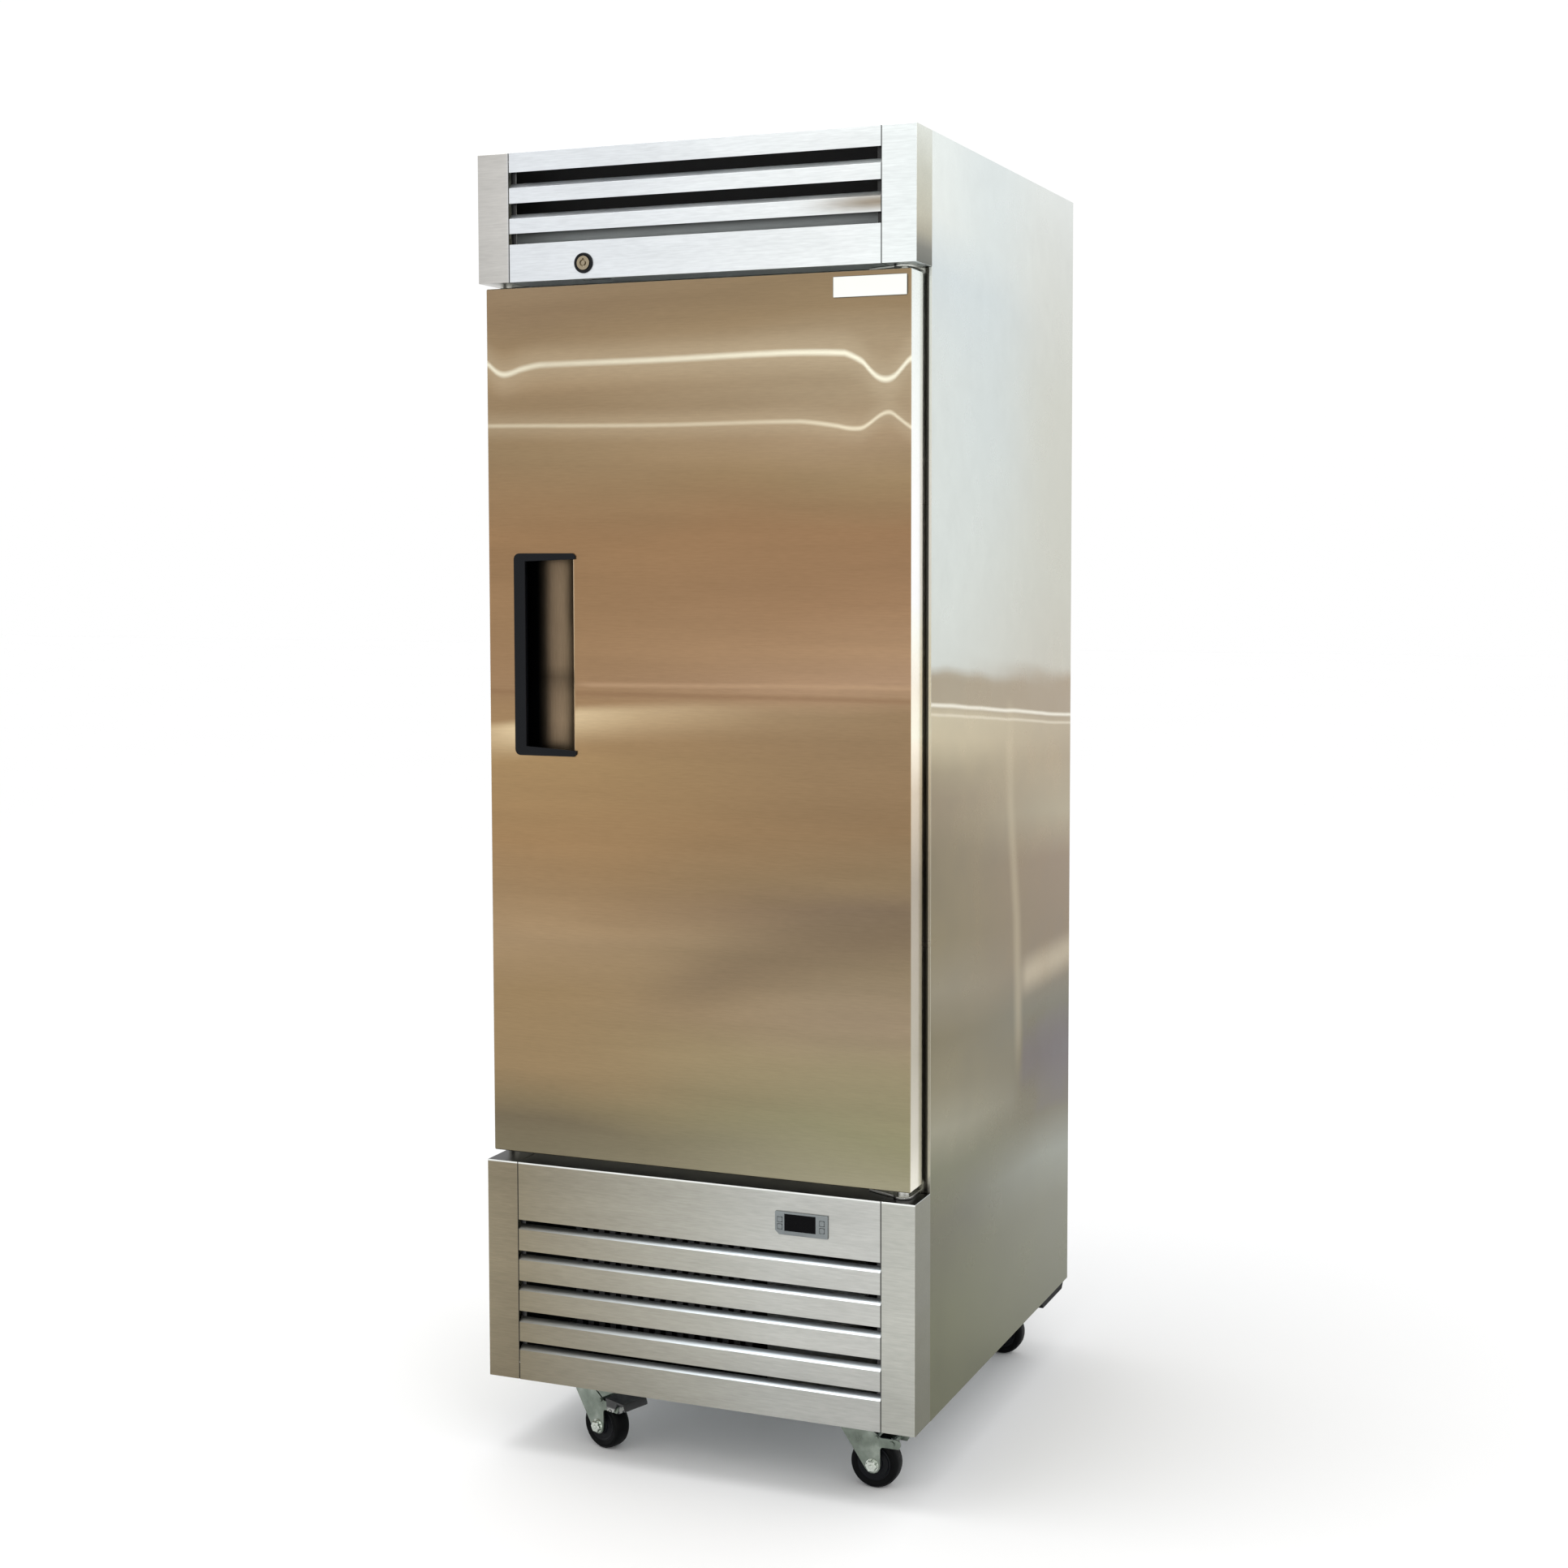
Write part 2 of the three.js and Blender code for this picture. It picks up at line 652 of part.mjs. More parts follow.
// A finned block, its fins shown as deep grooves in both faces.
function condenserCoil() {
  const { left, right, front, depth, bottom, top } = CONDENSER;
  const rear = front + depth;
  const fins = 15;
  const pitch = (right - left - 12) / fins;
  const grooves = Array.from({ length: fins }, (_, i) => {
    const x = left + 6 + (i + 0.25) * pitch;
    return [
      box(x, x + pitch / 2, front - 1, front + 18, bottom + 8, top - 8),
      box(x, x + pitch / 2, rear - 18, rear + 1, bottom + 8, top - 8),
    ];
  }).flat();
  return cut(box(left, right, front, rear, bottom, top), ...grooves);
}

const CONDENSER_FAN = {
  x: (CONDENSER.left + CONDENSER.right) / 2,
  z: (CONDENSER.bottom + CONDENSER.top) / 2,
  y: CONDENSER.front + CONDENSER.depth + 22,
  radius: 90,
};

function fanShroud() {
  const { left, right, front, depth, bottom, top } = CONDENSER;
  const y0 = front + depth + GAP;
  const { x, z, radius } = CONDENSER_FAN;
  return cut(
    join(
      box(left, right, y0, y0 + 2, CASTER_HEIGHT + 2 + GAP, top),
      cylinder("y", radius + 8, y0 + 1, y0 + 24, [x, z], 40),
    ),
    cylinder("y", radius + 5, y0 - 1, y0 + 25, [x, z], 40),
    box(left + 10, right - 10, y0 - 1, y0 + 3, CASTER_HEIGHT + 10, bottom - 8),
  );
}

// Pitched flat blades around a hub with a bore, turning about the local Z axis.
function fanRotor(radius, hubRadius, boreRadius, width, blades) {
  const blade = (i) => {
    const plate = box(hubRadius - 3, radius, -radius * 0.24, radius * 0.24, -0.8, 0.8);
    return plate.rotateX(0.45).rotateZ((i * 2 * Math.PI) / blades);
  };
  return cut(
    join(
      cylinder("z", hubRadius, -width / 2, width / 2, [0, 0], 20),
      ...Array.from({ length: blades }, (_, i) => blade(i)),
    ),
    cylinder("z", boreRadius, -width, width, [0, 0], 16),
  );
}

function condenserFan() {
  const { x, y, z, radius } = CONDENSER_FAN;
  return fanRotor(radius, 17, 5, 18, 5).rotateX(-Math.PI / 2).translate(x, y, z);
}

function condenserFanMotor() {
  const { x, y, z } = CONDENSER_FAN;
  const floor = CASTER_HEIGHT + 2 + GAP;
  const front = y + 14;
  return join(
    cylinder("y", 36, front, front + 62, [x, z], 24),
    cylinder("y", 4, y - 9, front + 1, [x, z], 12),
    box(x - 14, x + 14, front + 20, front + 26, floor + 1, z - 20),
    box(x - 34, x + 34, front + 4, front + 56, floor, floor + 2.5),
  );
}

// ---- evaporator section under the ceiling of the cold space -----------------------------------

const EVAPORATOR = { half: 294, front: -282, frontLow: -205, back: 352, bottom: 1772 };
const CEILING = CAVITY.top - GAP - SHEET - GAP;

// A bent tray: sloping front, flat floor with the fan opening, and two end cheeks.
function evaporatorCover() {
  const { half, front, frontLow, back, bottom } = EVAPORATOR;
  const thick = 1.5;
  const tray = alongX(
    outline([
      [front, CEILING],
      [frontLow, bottom],
      [back, bottom],
      [back, bottom + thick],
      [frontLow + 1, bottom + thick],
      [front + thick, CEILING],
    ]),
    -half, half,
  );
  const cheek = outline([
    [front, CEILING],
    [frontLow, bottom],
    [back, bottom],
    [back, bottom + 40],
    [frontLow + 60, CEILING],
  ]);
  return cut(
    join(tray, alongX(cheek, -half, -half + thick), alongX(cheek, half - thick, half)),
    cylinder("z", EVAPORATOR_FAN.radius + 6, bottom - 1, bottom + 3, [0, EVAPORATOR_FAN.y], 32),
  );
}

const EVAPORATOR_FAN = { y: -60, z: 1784, radius: 70 };

function evaporatorFan() {
  return fanRotor(EVAPORATOR_FAN.radius, 14, 5, 12, 5).translate(0, EVAPORATOR_FAN.y, EVAPORATOR_FAN.z);
}

function evaporatorFanMotor() {
  const { y, z } = EVAPORATOR_FAN;
  const low = z + 14;
  return join(
    cylinder("z", 32, low, low + 50, [0, y], 24),
    cylinder("z", 4, z - 6, low + 1, [0, y], 12),
    box(-12, 12, y - 3, y + 3, low + 45, CEILING),
    box(-60, 60, y - 20, y + 20, CEILING - 2, CEILING),
  );
}

function evaporatorCoil() {
  const z0 = EVAPORATOR.bottom + 22;
  const z1 = CEILING - 12;
  const [y0, y1] = [110, 300];
  const fins = 13;
  const grooves = Array.from({ length: fins }, (_, i) => {
    const x = -240 + (i + 0.25) * (480 / fins);
    return box(x, x + 480 / fins / 2, y0 - 1, y1 + 1, z0 + 12, z1 + 1);
  });
  return cut(box(-246, 246, y0, y1, z0, z1), ...grooves);
}

// ---- shelves ------------------------------------------------------------------------------

// A welded wire shelf: a frame, two cross rods under the wires and the wires themselves.
function wireShelf(top) {
  const half = 288;
  const [front, back] = [-268, 338];
  const rod = 7;
  const wire = 3.2;
  const wires = 13;
  const z1 = top;
  const z0 = top - rod;
  const pitch = (2 * half - rod) / (wires + 1);
  const crossRods = [front, (front + back) / 2, back - rod].map((y) =>
    box(-half, half, y, y + rod, z0, z1 - 1.5),
  );
  const endRods = [-half, half - rod].map((x) => box(x, x + rod, front, back, z0, z1 - 1));
  const gridWires = Array.from({ length: wires }, (_, i) => {
    const x = -half + (rod - wire) / 2 + (i + 1) * pitch;
    return box(x, x + wire, front + 1, back - 1, z1 - wire, z1);
  });
  return join(...crossRods, ...endRods, ...gridWires);
}

// ---- casters ------------------------------------------------------------------------------

// Local frame: the swivel axis is the Z axis, and the wheel trails along +X.
const FORK = { inner: 18.2, thick: 2.5, heel: -16, crownBottom: 92, crownTop: 95, raceTop: 104.5 };
const RACE = { radius: 19, plateRadius: 17 };
const PIN = { radius: 5.5, clearance: 7 };

function casterPlate() {
  const top = CASTER_HEIGHT - GAP;
  return join(
    box(-30, 30, -46, 46, top - 3, top),
    cylinder("z", RACE.plateRadius, FORK.raceTop + 0.5, top - 2, [0, 0], 28),
    cylinder("z", PIN.radius, FORK.crownBottom - 6, top - 3, [0, 0], 16),
    cylinder("z", 10, FORK.crownBottom - 8, FORK.crownBottom - 0.6, [0, 0], 6),
  );
}

// One fork cheek: it slopes down to the axle, with a lug reaching out over the wheel.
function forkCheek() {
  const { trail, wheelRadius: axle } = CASTER;
  const cheek = new THREE.Shape();
  cheek.moveTo(FORK.heel, FORK.crownTop);
  cheek.lineTo(trail - 11, axle - 6);
  cheek.absarc(trail, axle, 12.5, Math.PI + 0.5, 2 * Math.PI, false);
  cheek.lineTo(trail + 12.5, axle + 24);
  cheek.absarc(trail + 17.5, axle + 24, 5, Math.PI, Math.PI / 2, true);
  cheek.lineTo(trail + 42, axle + 29);
  cheek.absarc(trail + 38, axle + 36, 7, -0.7, Math.PI / 2, false);
  cheek.lineTo(trail + 14, axle + 43);
  cheek.lineTo(trail - 6, FORK.crownTop);
  return cheek;
}

// The lugs carry the brake's pin, or a plain rivet where there is no brake.
function casterFork(braked) {
  const { trail, wheelRadius: axle } = CASTER;
  const { inner, thick, heel, crownBottom, crownTop, raceTop } = FORK;
  const outer = inner + thick;
  const fork = cut(
    join(
      alongY(forkCheek(), -outer, -inner),
      alongY(forkCheek(), inner, outer),
      box(heel, trail - 8, -outer, outer, crownBottom, crownTop),
      cylinder("z", RACE.radius, crownTop - 1, raceTop, [0, 0], 20),
      cylinder("y", 5.4, -outer - 2, outer + 2, [trail, axle], 12),
      cylinder("y", 8.5, -outer - 6.5, -outer + 0.5, [trail, axle], 6),
      cylinder("y", 8.5, outer - 0.5, outer + 5, [trail, axle], 6),
      cylinder("y", 3, -outer - 2, outer + 2, [trail + 7, axle + 43], 8),
    ),
    cylinder("z", PIN.clearance, crownBottom - 1, raceTop + 1, [0, 0], 16),
  );
  const lugs = [PEDAL.x, PEDAL.z];
  if (braked) return cut(fork, cylinder("y", 3.6, -outer - 3, outer + 3, lugs, 10));
  return join(fork, cylinder("y", 4.4, -outer - 2, outer + 2, lugs, 10));
}

// Tread, rounded shoulders and a bored hub, as one ring about the axle.
function casterWheel() {
  const { trail, wheelRadius, wheelWidth } = CASTER;
  const half = wheelWidth / 2;
  const bore = 6.2;
  const profile = [
    [bore, -half],
    [14, -half],
    [17, -half + 3],
    [28, -half + 3],
    [31, -half + 0.5],
    [wheelRadius, -half + 6],
    [wheelRadius, half - 6],
    [31, half - 0.5],
    [28, half - 3],
    [17, half - 3],
    [14, half],
    [bore, half],
    [bore, -half],
  ].map(([r, h]) => new THREE.Vector2(r, h));
  return new THREE.LatheGeometry(profile, 26).translate(trail, 0, wheelRadius);
}

const PEDAL = { x: 69, z: 74, pin: 3, half: 25, tip: 102 };

// The foot lever of the brake, hung on a pin through the fork's lugs.
function brakePedal() {
  const { x, z, pin, half, tip } = PEDAL;
  const ear = FORK.inner + FORK.thick + 1;
  const lever = outline([
    [x - 9, z + 11],
    [x + 30, z + 9],
    [tip, z + 1],
    [tip, z + 4],
    [x + 30, z + 12.5],
    [x - 9, z + 14.5],
  ]);
  const cheek = outline([
    [x - 6, z - 5],
    [x + 7, z - 5],
    [x + 16, z + 9],
    [x + 12, z + 12],
    [x - 8, z + 12],
  ]);
  return join(
    alongY(lever, -half, half),
    alongY(cheek, -half, -ear),
    alongY(cheek, ear, half),
    cylinder("y", pin, -half, half, [x, z], 12),
    box(x + 5, x + 9, -14, 14, z - 10, z + 12),
  );
}

const CASTER_CORNERS = [
  ["front_left", -1, -1],
  ["front_right", 1, -1],
  ["rear_left", -1, 1],
  ["rear_right", 1, 1],
];

const BRAKED = "front_left";

function caster(corner, xSign, ySign) {
  const group = new THREE.Group();
  group.position.set(xSign * CASTER.x, ySign * CASTER.y, 0);
  group.add(node(`caster_plate_${corner}`, casterPlate(), zincPlate()));
  const swivel = new THREE.Group();
  swivel.rotation.z = THREE.MathUtils.degToRad(CASTER_TURN[corner]);
  const braked = corner === BRAKED;
  swivel.add(node(`caster_fork_${corner}`, casterFork(braked), zincPlate()));
  swivel.add(node(`caster_wheel_${corner}`, casterWheel(), rubber()));
  if (braked) swivel.add(node(`brake_pedal_${corner}`, brakePedal(), blackPaint()));
  group.add(swivel);
  return group;
}

const SKID = { inner: 334, outer: 347, front: 256, rear: 396, chamfer: 12, height: 14 };

// A rubber skid under each rear bottom edge, with chamfered ends.
function rearSkid(side) {
  const { inner, outer, front, rear, chamfer, height } = SKID;
  const [x0, x1] = mirrored(side, [inner, outer]);
  const z1 = CASTER_HEIGHT - GAP;
  const z0 = z1 - height;
  return alongX(
    outline([
      [front + chamfer, z0],
      [rear - chamfer, z0],
      [rear, z1],
      [front, z1],
    ]),
    x0, x1,
  );
}

// ---- assembly -----------------------------------------------------------------------------

const refrigerator = new THREE.Group();
const add = (name, geometry, material) => refrigerator.add(node(name, geometry, material));

for (const [name, side] of [["left", -1], ["right", 1]]) {
  add(`side_panel_${name}`, sidePanel(side), brushedSteel());
  add(`header_post_${name}`, cornerPost(side, HEADER_BOTTOM, HEIGHT), brushedSteel());
  add(`grille_post_${name}`, cornerPost(side, CASTER_HEIGHT, GRILLE_TOP), brushedSteel());
  add(`rear_skid_${name}`, rearSkid(side), rubber());
}
add("top_panel", topPanel(), galvanisedSteel());
add("back_panel", backPanel(), galvanisedSteel());
add("insulation", insulation(), foam());
add("inner_liner", innerLiner(), brushedSteel());
add("face_frame", faceFrame(), brushedSteel());
add("header_louvre", headerLouvre(), brushedSteel());
add("grille_louvre", grilleLouvre(), brushedSteel());
add("lock_housing", lockHousing(), blackPlastic());
add("lock_cylinder", lockCylinder(), chrome());
add("controller_bezel", controllerBezel(), greyPlastic());
add("controller_window", controllerWindow(), glassBlack());
for (const place of buttonPlaces()) add(place.name, controllerButton(place), greyPlastic());

add("door_skin", doorSkin(), doorSteel());
add("door_core", doorCore(), foam());
add("door_inner", doorInner(), whitePlastic());
add("door_gasket", doorGasket(), rubber());
add("handle_frame", handleFrame(), blackPlastic());
add("handle_scoop", handleScoop(), brushedSteel());
add("badge", badge(), whitePlastic());
add("hinge_top", hingeTop(), brushedSteel());
add("hinge_bottom", hingeBottom(), brushedSteel());

add("base_pan", basePan(), galvanisedSteel());
add("rear_cover", rearCover(), galvanisedSteel());
add("compressor", compressor(), blackPaint());
add("condenser_coil", condenserCoil(), aluminium());
add("fan_shroud", fanShroud(), blackPaint());
add("condenser_fan", condenserFan(), aluminium());
add("condenser_fan_motor", condenserFanMotor(), blackPaint());

add("evaporator_cover", evaporatorCover(), whitePlastic());
add("evaporator_coil", evaporatorCoil(), aluminium());
add("evaporator_fan", evaporatorFan(), blackPlastic());
add("evaporator_fan_motor", evaporatorFanMotor(), blackPaint());

for (const [name, top] of Object.entries(SHELF_HEIGHTS)) add(name, wireShelf(top), chrome());
for (const corner of CASTER_CORNERS) refrigerator.add(caster(...corner));

export default refrigerator;
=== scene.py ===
import json
import math

import bmesh
import bpy
from mathutils import Matrix, Vector

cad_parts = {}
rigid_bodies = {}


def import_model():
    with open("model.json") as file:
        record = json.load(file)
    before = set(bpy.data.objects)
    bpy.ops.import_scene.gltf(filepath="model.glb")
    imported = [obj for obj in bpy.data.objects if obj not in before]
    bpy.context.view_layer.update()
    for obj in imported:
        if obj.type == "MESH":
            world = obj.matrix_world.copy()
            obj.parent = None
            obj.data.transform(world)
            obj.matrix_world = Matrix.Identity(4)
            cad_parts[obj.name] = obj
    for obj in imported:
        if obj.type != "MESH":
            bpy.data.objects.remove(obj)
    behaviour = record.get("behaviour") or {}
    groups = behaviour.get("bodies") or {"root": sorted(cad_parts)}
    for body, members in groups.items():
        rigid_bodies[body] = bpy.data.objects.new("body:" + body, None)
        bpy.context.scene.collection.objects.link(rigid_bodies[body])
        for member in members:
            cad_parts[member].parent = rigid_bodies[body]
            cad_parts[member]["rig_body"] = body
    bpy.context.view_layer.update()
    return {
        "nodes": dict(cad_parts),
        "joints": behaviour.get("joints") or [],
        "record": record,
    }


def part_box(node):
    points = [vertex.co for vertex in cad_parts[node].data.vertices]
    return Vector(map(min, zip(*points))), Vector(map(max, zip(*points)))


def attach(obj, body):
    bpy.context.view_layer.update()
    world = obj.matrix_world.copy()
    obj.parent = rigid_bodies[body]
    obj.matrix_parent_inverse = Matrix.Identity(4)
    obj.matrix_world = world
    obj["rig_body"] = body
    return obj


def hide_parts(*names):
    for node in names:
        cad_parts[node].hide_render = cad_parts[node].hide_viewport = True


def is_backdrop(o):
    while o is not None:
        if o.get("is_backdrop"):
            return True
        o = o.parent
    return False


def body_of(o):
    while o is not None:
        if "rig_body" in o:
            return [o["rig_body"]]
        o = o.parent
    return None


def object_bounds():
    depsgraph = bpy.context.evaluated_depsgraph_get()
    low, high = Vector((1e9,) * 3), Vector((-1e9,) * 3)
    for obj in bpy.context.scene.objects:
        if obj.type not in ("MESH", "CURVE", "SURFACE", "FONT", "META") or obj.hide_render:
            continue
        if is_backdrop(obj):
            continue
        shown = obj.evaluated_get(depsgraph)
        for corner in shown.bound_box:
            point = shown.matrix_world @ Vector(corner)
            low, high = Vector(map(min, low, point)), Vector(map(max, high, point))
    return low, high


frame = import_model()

# The reach-in refrigerator's looks, in metres: -Y is the front, and the hinges are at +X.
NODES = frame["nodes"]
SLOT_OF = {part["node"]: part["material_slot"] for part in frame["record"]["subparts"]}
JOINTS = {joint["name"]: joint for joint in frame["joints"]}
CORNERS = ("front_left", "front_right", "rear_left", "rear_right")
MM = 0.001

# The places that the finishes and the pieces are set out from.
SHEET_LOW, SHEET_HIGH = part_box("side_panel_right")
LINER_LOW, LINER_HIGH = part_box("inner_liner")
HEADER_LOW, HEADER_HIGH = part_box("header_louvre")
GRILLE_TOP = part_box("grille_louvre")[1].z
DOOR_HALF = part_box("door_skin")[1].x
# Halfway across the seam between the louvre panels and the corner posts.
POST_SEAM = (HEADER_HIGH.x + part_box("header_post_right")[0].x) / 2


# ---- colours and node materials ----------------------------------------------------------------


def srgb(red, green, blue):
    """A colour given as 0-255 screen values, as a linear colour."""
    values = []
    for value in (red, green, blue):
        part = value / 255
        values.append(part / 12.92 if part <= 0.04045 else ((part + 0.055) / 1.055) ** 2.4)
    return (*values, 1.0)


class Finish:
    """A node material whose patterns follow the object's own coordinates, in metres."""

    def __init__(self, name, metallic=0.0, roughness=0.5, **constants):
        self.material = bpy.data.materials.new("finish_" + name)
        self.material.use_nodes = True
        self.tree = self.material.node_tree
        self.shader = self.tree.nodes["Principled BSDF"]
        self.set(Metallic=metallic, Roughness=roughness)
        for key, value in constants.items():
            self.shader.inputs[key.replace("_", " ")].default_value = value
        coordinates = self.add("ShaderNodeTexCoord")
        self.place = coordinates.outputs["Object"]
        split = self.add("ShaderNodeSeparateXYZ")
        self.feed(split.inputs[0], self.place)
        self.x, self.y, self.z = split.outputs
        facing = self.add("ShaderNodeSeparateXYZ")
        self.feed(facing.inputs[0], coordinates.outputs["Normal"])
        self.facing_x, self.facing_y, self.facing_z = facing.outputs

    def add(self, kind, **settings):
        node = self.tree.nodes.new(kind)
        for key, value in settings.items():
            setattr(node, key, value)
        return node

    def feed(self, socket, value):
        if isinstance(value, bpy.types.NodeSocket):
            self.tree.links.new(value, socket)
        else:
            socket.default_value = value

    def set(self, **inputs):
        for key, value in inputs.items():
            self.feed(self.shader.inputs[key.replace("_", " ")], value)

    def math(self, operation, a, b=0.0):
        node = self.add("ShaderNodeMath", operation=operation)
        for socket, value in zip(node.inputs, (a, b)):
            self.feed(socket, value)
        return node.outputs[0]

    def times(self, product, *factors):
        """Several numbers multiplied together."""
        for factor in factors:
            product = self.math("MULTIPLY", product, factor)
        return product

    def noise(self, scale, detail=3.0, roughness=0.5, distortion=0.0, shift=(0, 0, 0)):
        mapping = self.add("ShaderNodeMapping")
        self.feed(mapping.inputs["Vector"], self.place)
        mapping.inputs["Location"].default_value = shift
        mapping.inputs["Scale"].default_value = scale
        texture = self.add("ShaderNodeTexNoise")
        self.feed(texture.inputs["Vector"], mapping.outputs[0])
        texture.inputs["Scale"].default_value = 1.0
        texture.inputs["Detail"].default_value = detail
        texture.inputs["Roughness"].default_value = roughness
        texture.inputs["Distortion"].default_value = distortion
        return texture.outputs[0]

    def cells(self, scale, output="Distance"):
        mapping = self.add("ShaderNodeMapping")
        self.feed(mapping.inputs["Vector"], self.place)
        mapping.inputs["Scale"].default_value = scale
        texture = self.add("ShaderNodeTexVoronoi", feature="F1")
        self.feed(texture.inputs["Vector"], mapping.outputs[0])
        texture.inputs["Scale"].default_value = 1.0
        return texture.outputs[output]

    def span(self, value, low, high, to_low=0.0, to_high=1.0, smooth=True):
        kind = "SMOOTHSTEP" if smooth else "LINEAR"
        node = self.add("ShaderNodeMapRange", interpolation_type=kind, clamp=True)
        for socket, number in zip(node.inputs, (value, low, high, to_low, to_high)):
            self.feed(socket, number)
        return node.outputs[0]

    def ramp(self, value, stops, interpolation="LINEAR"):
        """Colours or numbers placed along a value in real units."""
        low, high = stops[0][0], stops[-1][0]
        node = self.add("ShaderNodeValToRGB")
        node.color_ramp.interpolation = interpolation
        elements = node.color_ramp.elements
        while len(elements) > 1:
            elements.remove(elements[-1])
        for i, (place, color) in enumerate(stops):
            element = elements[0] if i == 0 else elements.new(1.0)
            element.position = (place - low) / (high - low)
            element.color = color if isinstance(color, tuple) else (color, color, color, 1.0)
        self.feed(node.inputs[0], self.span(value, low, high, smooth=False))
        return node.outputs["Color"]

    def mix(self, a, b, factor):
        node = self.add("ShaderNodeMix", data_type="RGBA", blend_type="MIX")
        self.feed(node.inputs["Factor"], factor)
        self.feed(node.inputs[6], a)
        self.feed(node.inputs[7], b)
        return node.outputs[2]

    def dim(self, color, factor):
        """A colour times a number."""
        node = self.add("ShaderNodeVectorMath", operation="SCALE")
        self.feed(node.inputs[0], color[:3] if isinstance(color, tuple) else color)
        self.feed(node.inputs["Scale"], factor)
        return node.outputs[0]

    def unveil(self, color, veil):
        """The colour that looks like a given one under a veil of white sheen."""
        less = self.add("ShaderNodeVectorMath", operation="SUBTRACT")
        self.feed(less.inputs[0], color)
        self.feed(less.inputs[1], veil)
        floor = self.add("ShaderNodeVectorMath", operation="MAXIMUM")
        self.feed(floor.inputs[0], less.outputs[0])
        floor.inputs[1].default_value = (0.004, 0.004, 0.004)
        return self.dim(floor.outputs[0], self.math("DIVIDE", 1.0, self.math("SUBTRACT", 1.0, veil)))

    def vary(self, value, amount, middle=1.0):
        """A number about a middle value, from a 0-1 pattern."""
        return self.span(value, 0.25, 0.75, middle - amount, middle + amount, smooth=False)

    def bump(self, height, distance, strength=1.0):
        node = self.add("ShaderNodeBump")
        node.inputs["Strength"].default_value = strength
        node.inputs["Distance"].default_value = distance
        self.feed(node.inputs["Height"], height)
        self.feed(self.shader.inputs["Normal"], node.outputs[0])

    def line(self, across, path, half_width):
        """1 on a path and 0 beyond a half width from it, with soft sides."""
        away = self.math("ABSOLUTE", self.math("SUBTRACT", across, path))
        return self.span(away, 0.0, half_width, 1.0, 0.0)


# How close the scratches and the streaks lie along each axis, for brushing in two directions.
BRUSHING = {
    "X": ((14, 900, 900), (1.3, 26, 26)),
    "Z": ((900, 900, 14), (26, 26, 1.3)),
}


def brushed(finish, color, grain, drift, along="X"):
    """Satin brushing: fine scratches along one direction, broad soft streaks and soft bump."""
    fine, wide = BRUSHING[along]
    scratches = finish.noise(fine, detail=2)
    streaks = finish.noise(wide, detail=3)
    speckle = finish.noise(tuple(size ** 0.5 * 14 for size in fine), detail=1)
    color = finish.dim(color, finish.vary(scratches, grain))
    color = finish.dim(color, finish.vary(speckle, grain * 1.2))
    color = finish.dim(color, finish.vary(streaks, drift))
    finish.set(Base_Color=color)
    finish.bump(scratches, 0.00004, 0.35)


# ---- finishes ----------------------------------------------------------------------------------


def door_reflection_bands(f, height):
    """Painted reflections of the room in soft level bands, which change from the handle side to the
    hinge side.
    """
    left = f.ramp(height, [
        (0.473, srgb(122, 114, 93)),
        (0.520, srgb(114, 104, 84)),
        (0.560, srgb(132, 117, 90)),
        (0.610, srgb(150, 128, 96)),
        (0.720, srgb(154, 130, 96)),
        (0.800, srgb(160, 136, 105)),
        (0.950, srgb(157, 127, 91)),
        (1.070, srgb(166, 137, 98)),
        (1.200, srgb(154, 124, 93)),
        (1.290, srgb(156, 125, 92)),
        (1.420, srgb(151, 120, 87)),
        (1.540, srgb(152, 129, 98)),
        (1.640, srgb(158, 135, 105)),
        (1.710, srgb(158, 135, 104)),
        (1.765, srgb(146, 124, 97)),
        (1.795, srgb(152, 131, 104)),
    ])
    right = f.ramp(height, [
        (0.473, srgb(152, 147, 124)),
        (0.560, srgb(143, 139, 110)),
        (0.650, srgb(148, 137, 109)),
        (0.700, srgb(155, 138, 114)),
        (0.780, srgb(142, 126, 101)),
        (0.860, srgb(128, 111, 91)),
        (0.910, srgb(141, 121, 93)),
        (0.985, srgb(143, 118, 88)),
        (1.150, srgb(151, 126, 96)),
        (1.195, srgb(176, 145, 116)),
        (1.250, srgb(168, 137, 106)),
        (1.330, srgb(157, 125, 94)),
        (1.430, srgb(153, 121, 89)),
        (1.490, srgb(157, 133, 100)),
        (1.550, srgb(168, 145, 116)),
        (1.620, srgb(171, 152, 124)),
        (1.690, srgb(168, 149, 121)),
        (1.735, srgb(152, 131, 101)),
        (1.795, srgb(150, 129, 99)),
    ])
    return f.mix(left, right, f.span(f.x, -0.30, 0.33))


def door_shadow(f, paint):
    """A painted shade below the middle, rising towards the hinges."""
    path = f.ramp(f.x, [(-0.10, 0.735), (0.00, 0.760), (0.20, 0.820), (0.34, 0.850)])
    shadow = f.times(f.line(f.z, path, 0.075), f.span(f.x, -0.14, 0.06), 0.6)
    return f.mix(paint, srgb(124, 107, 86), shadow)


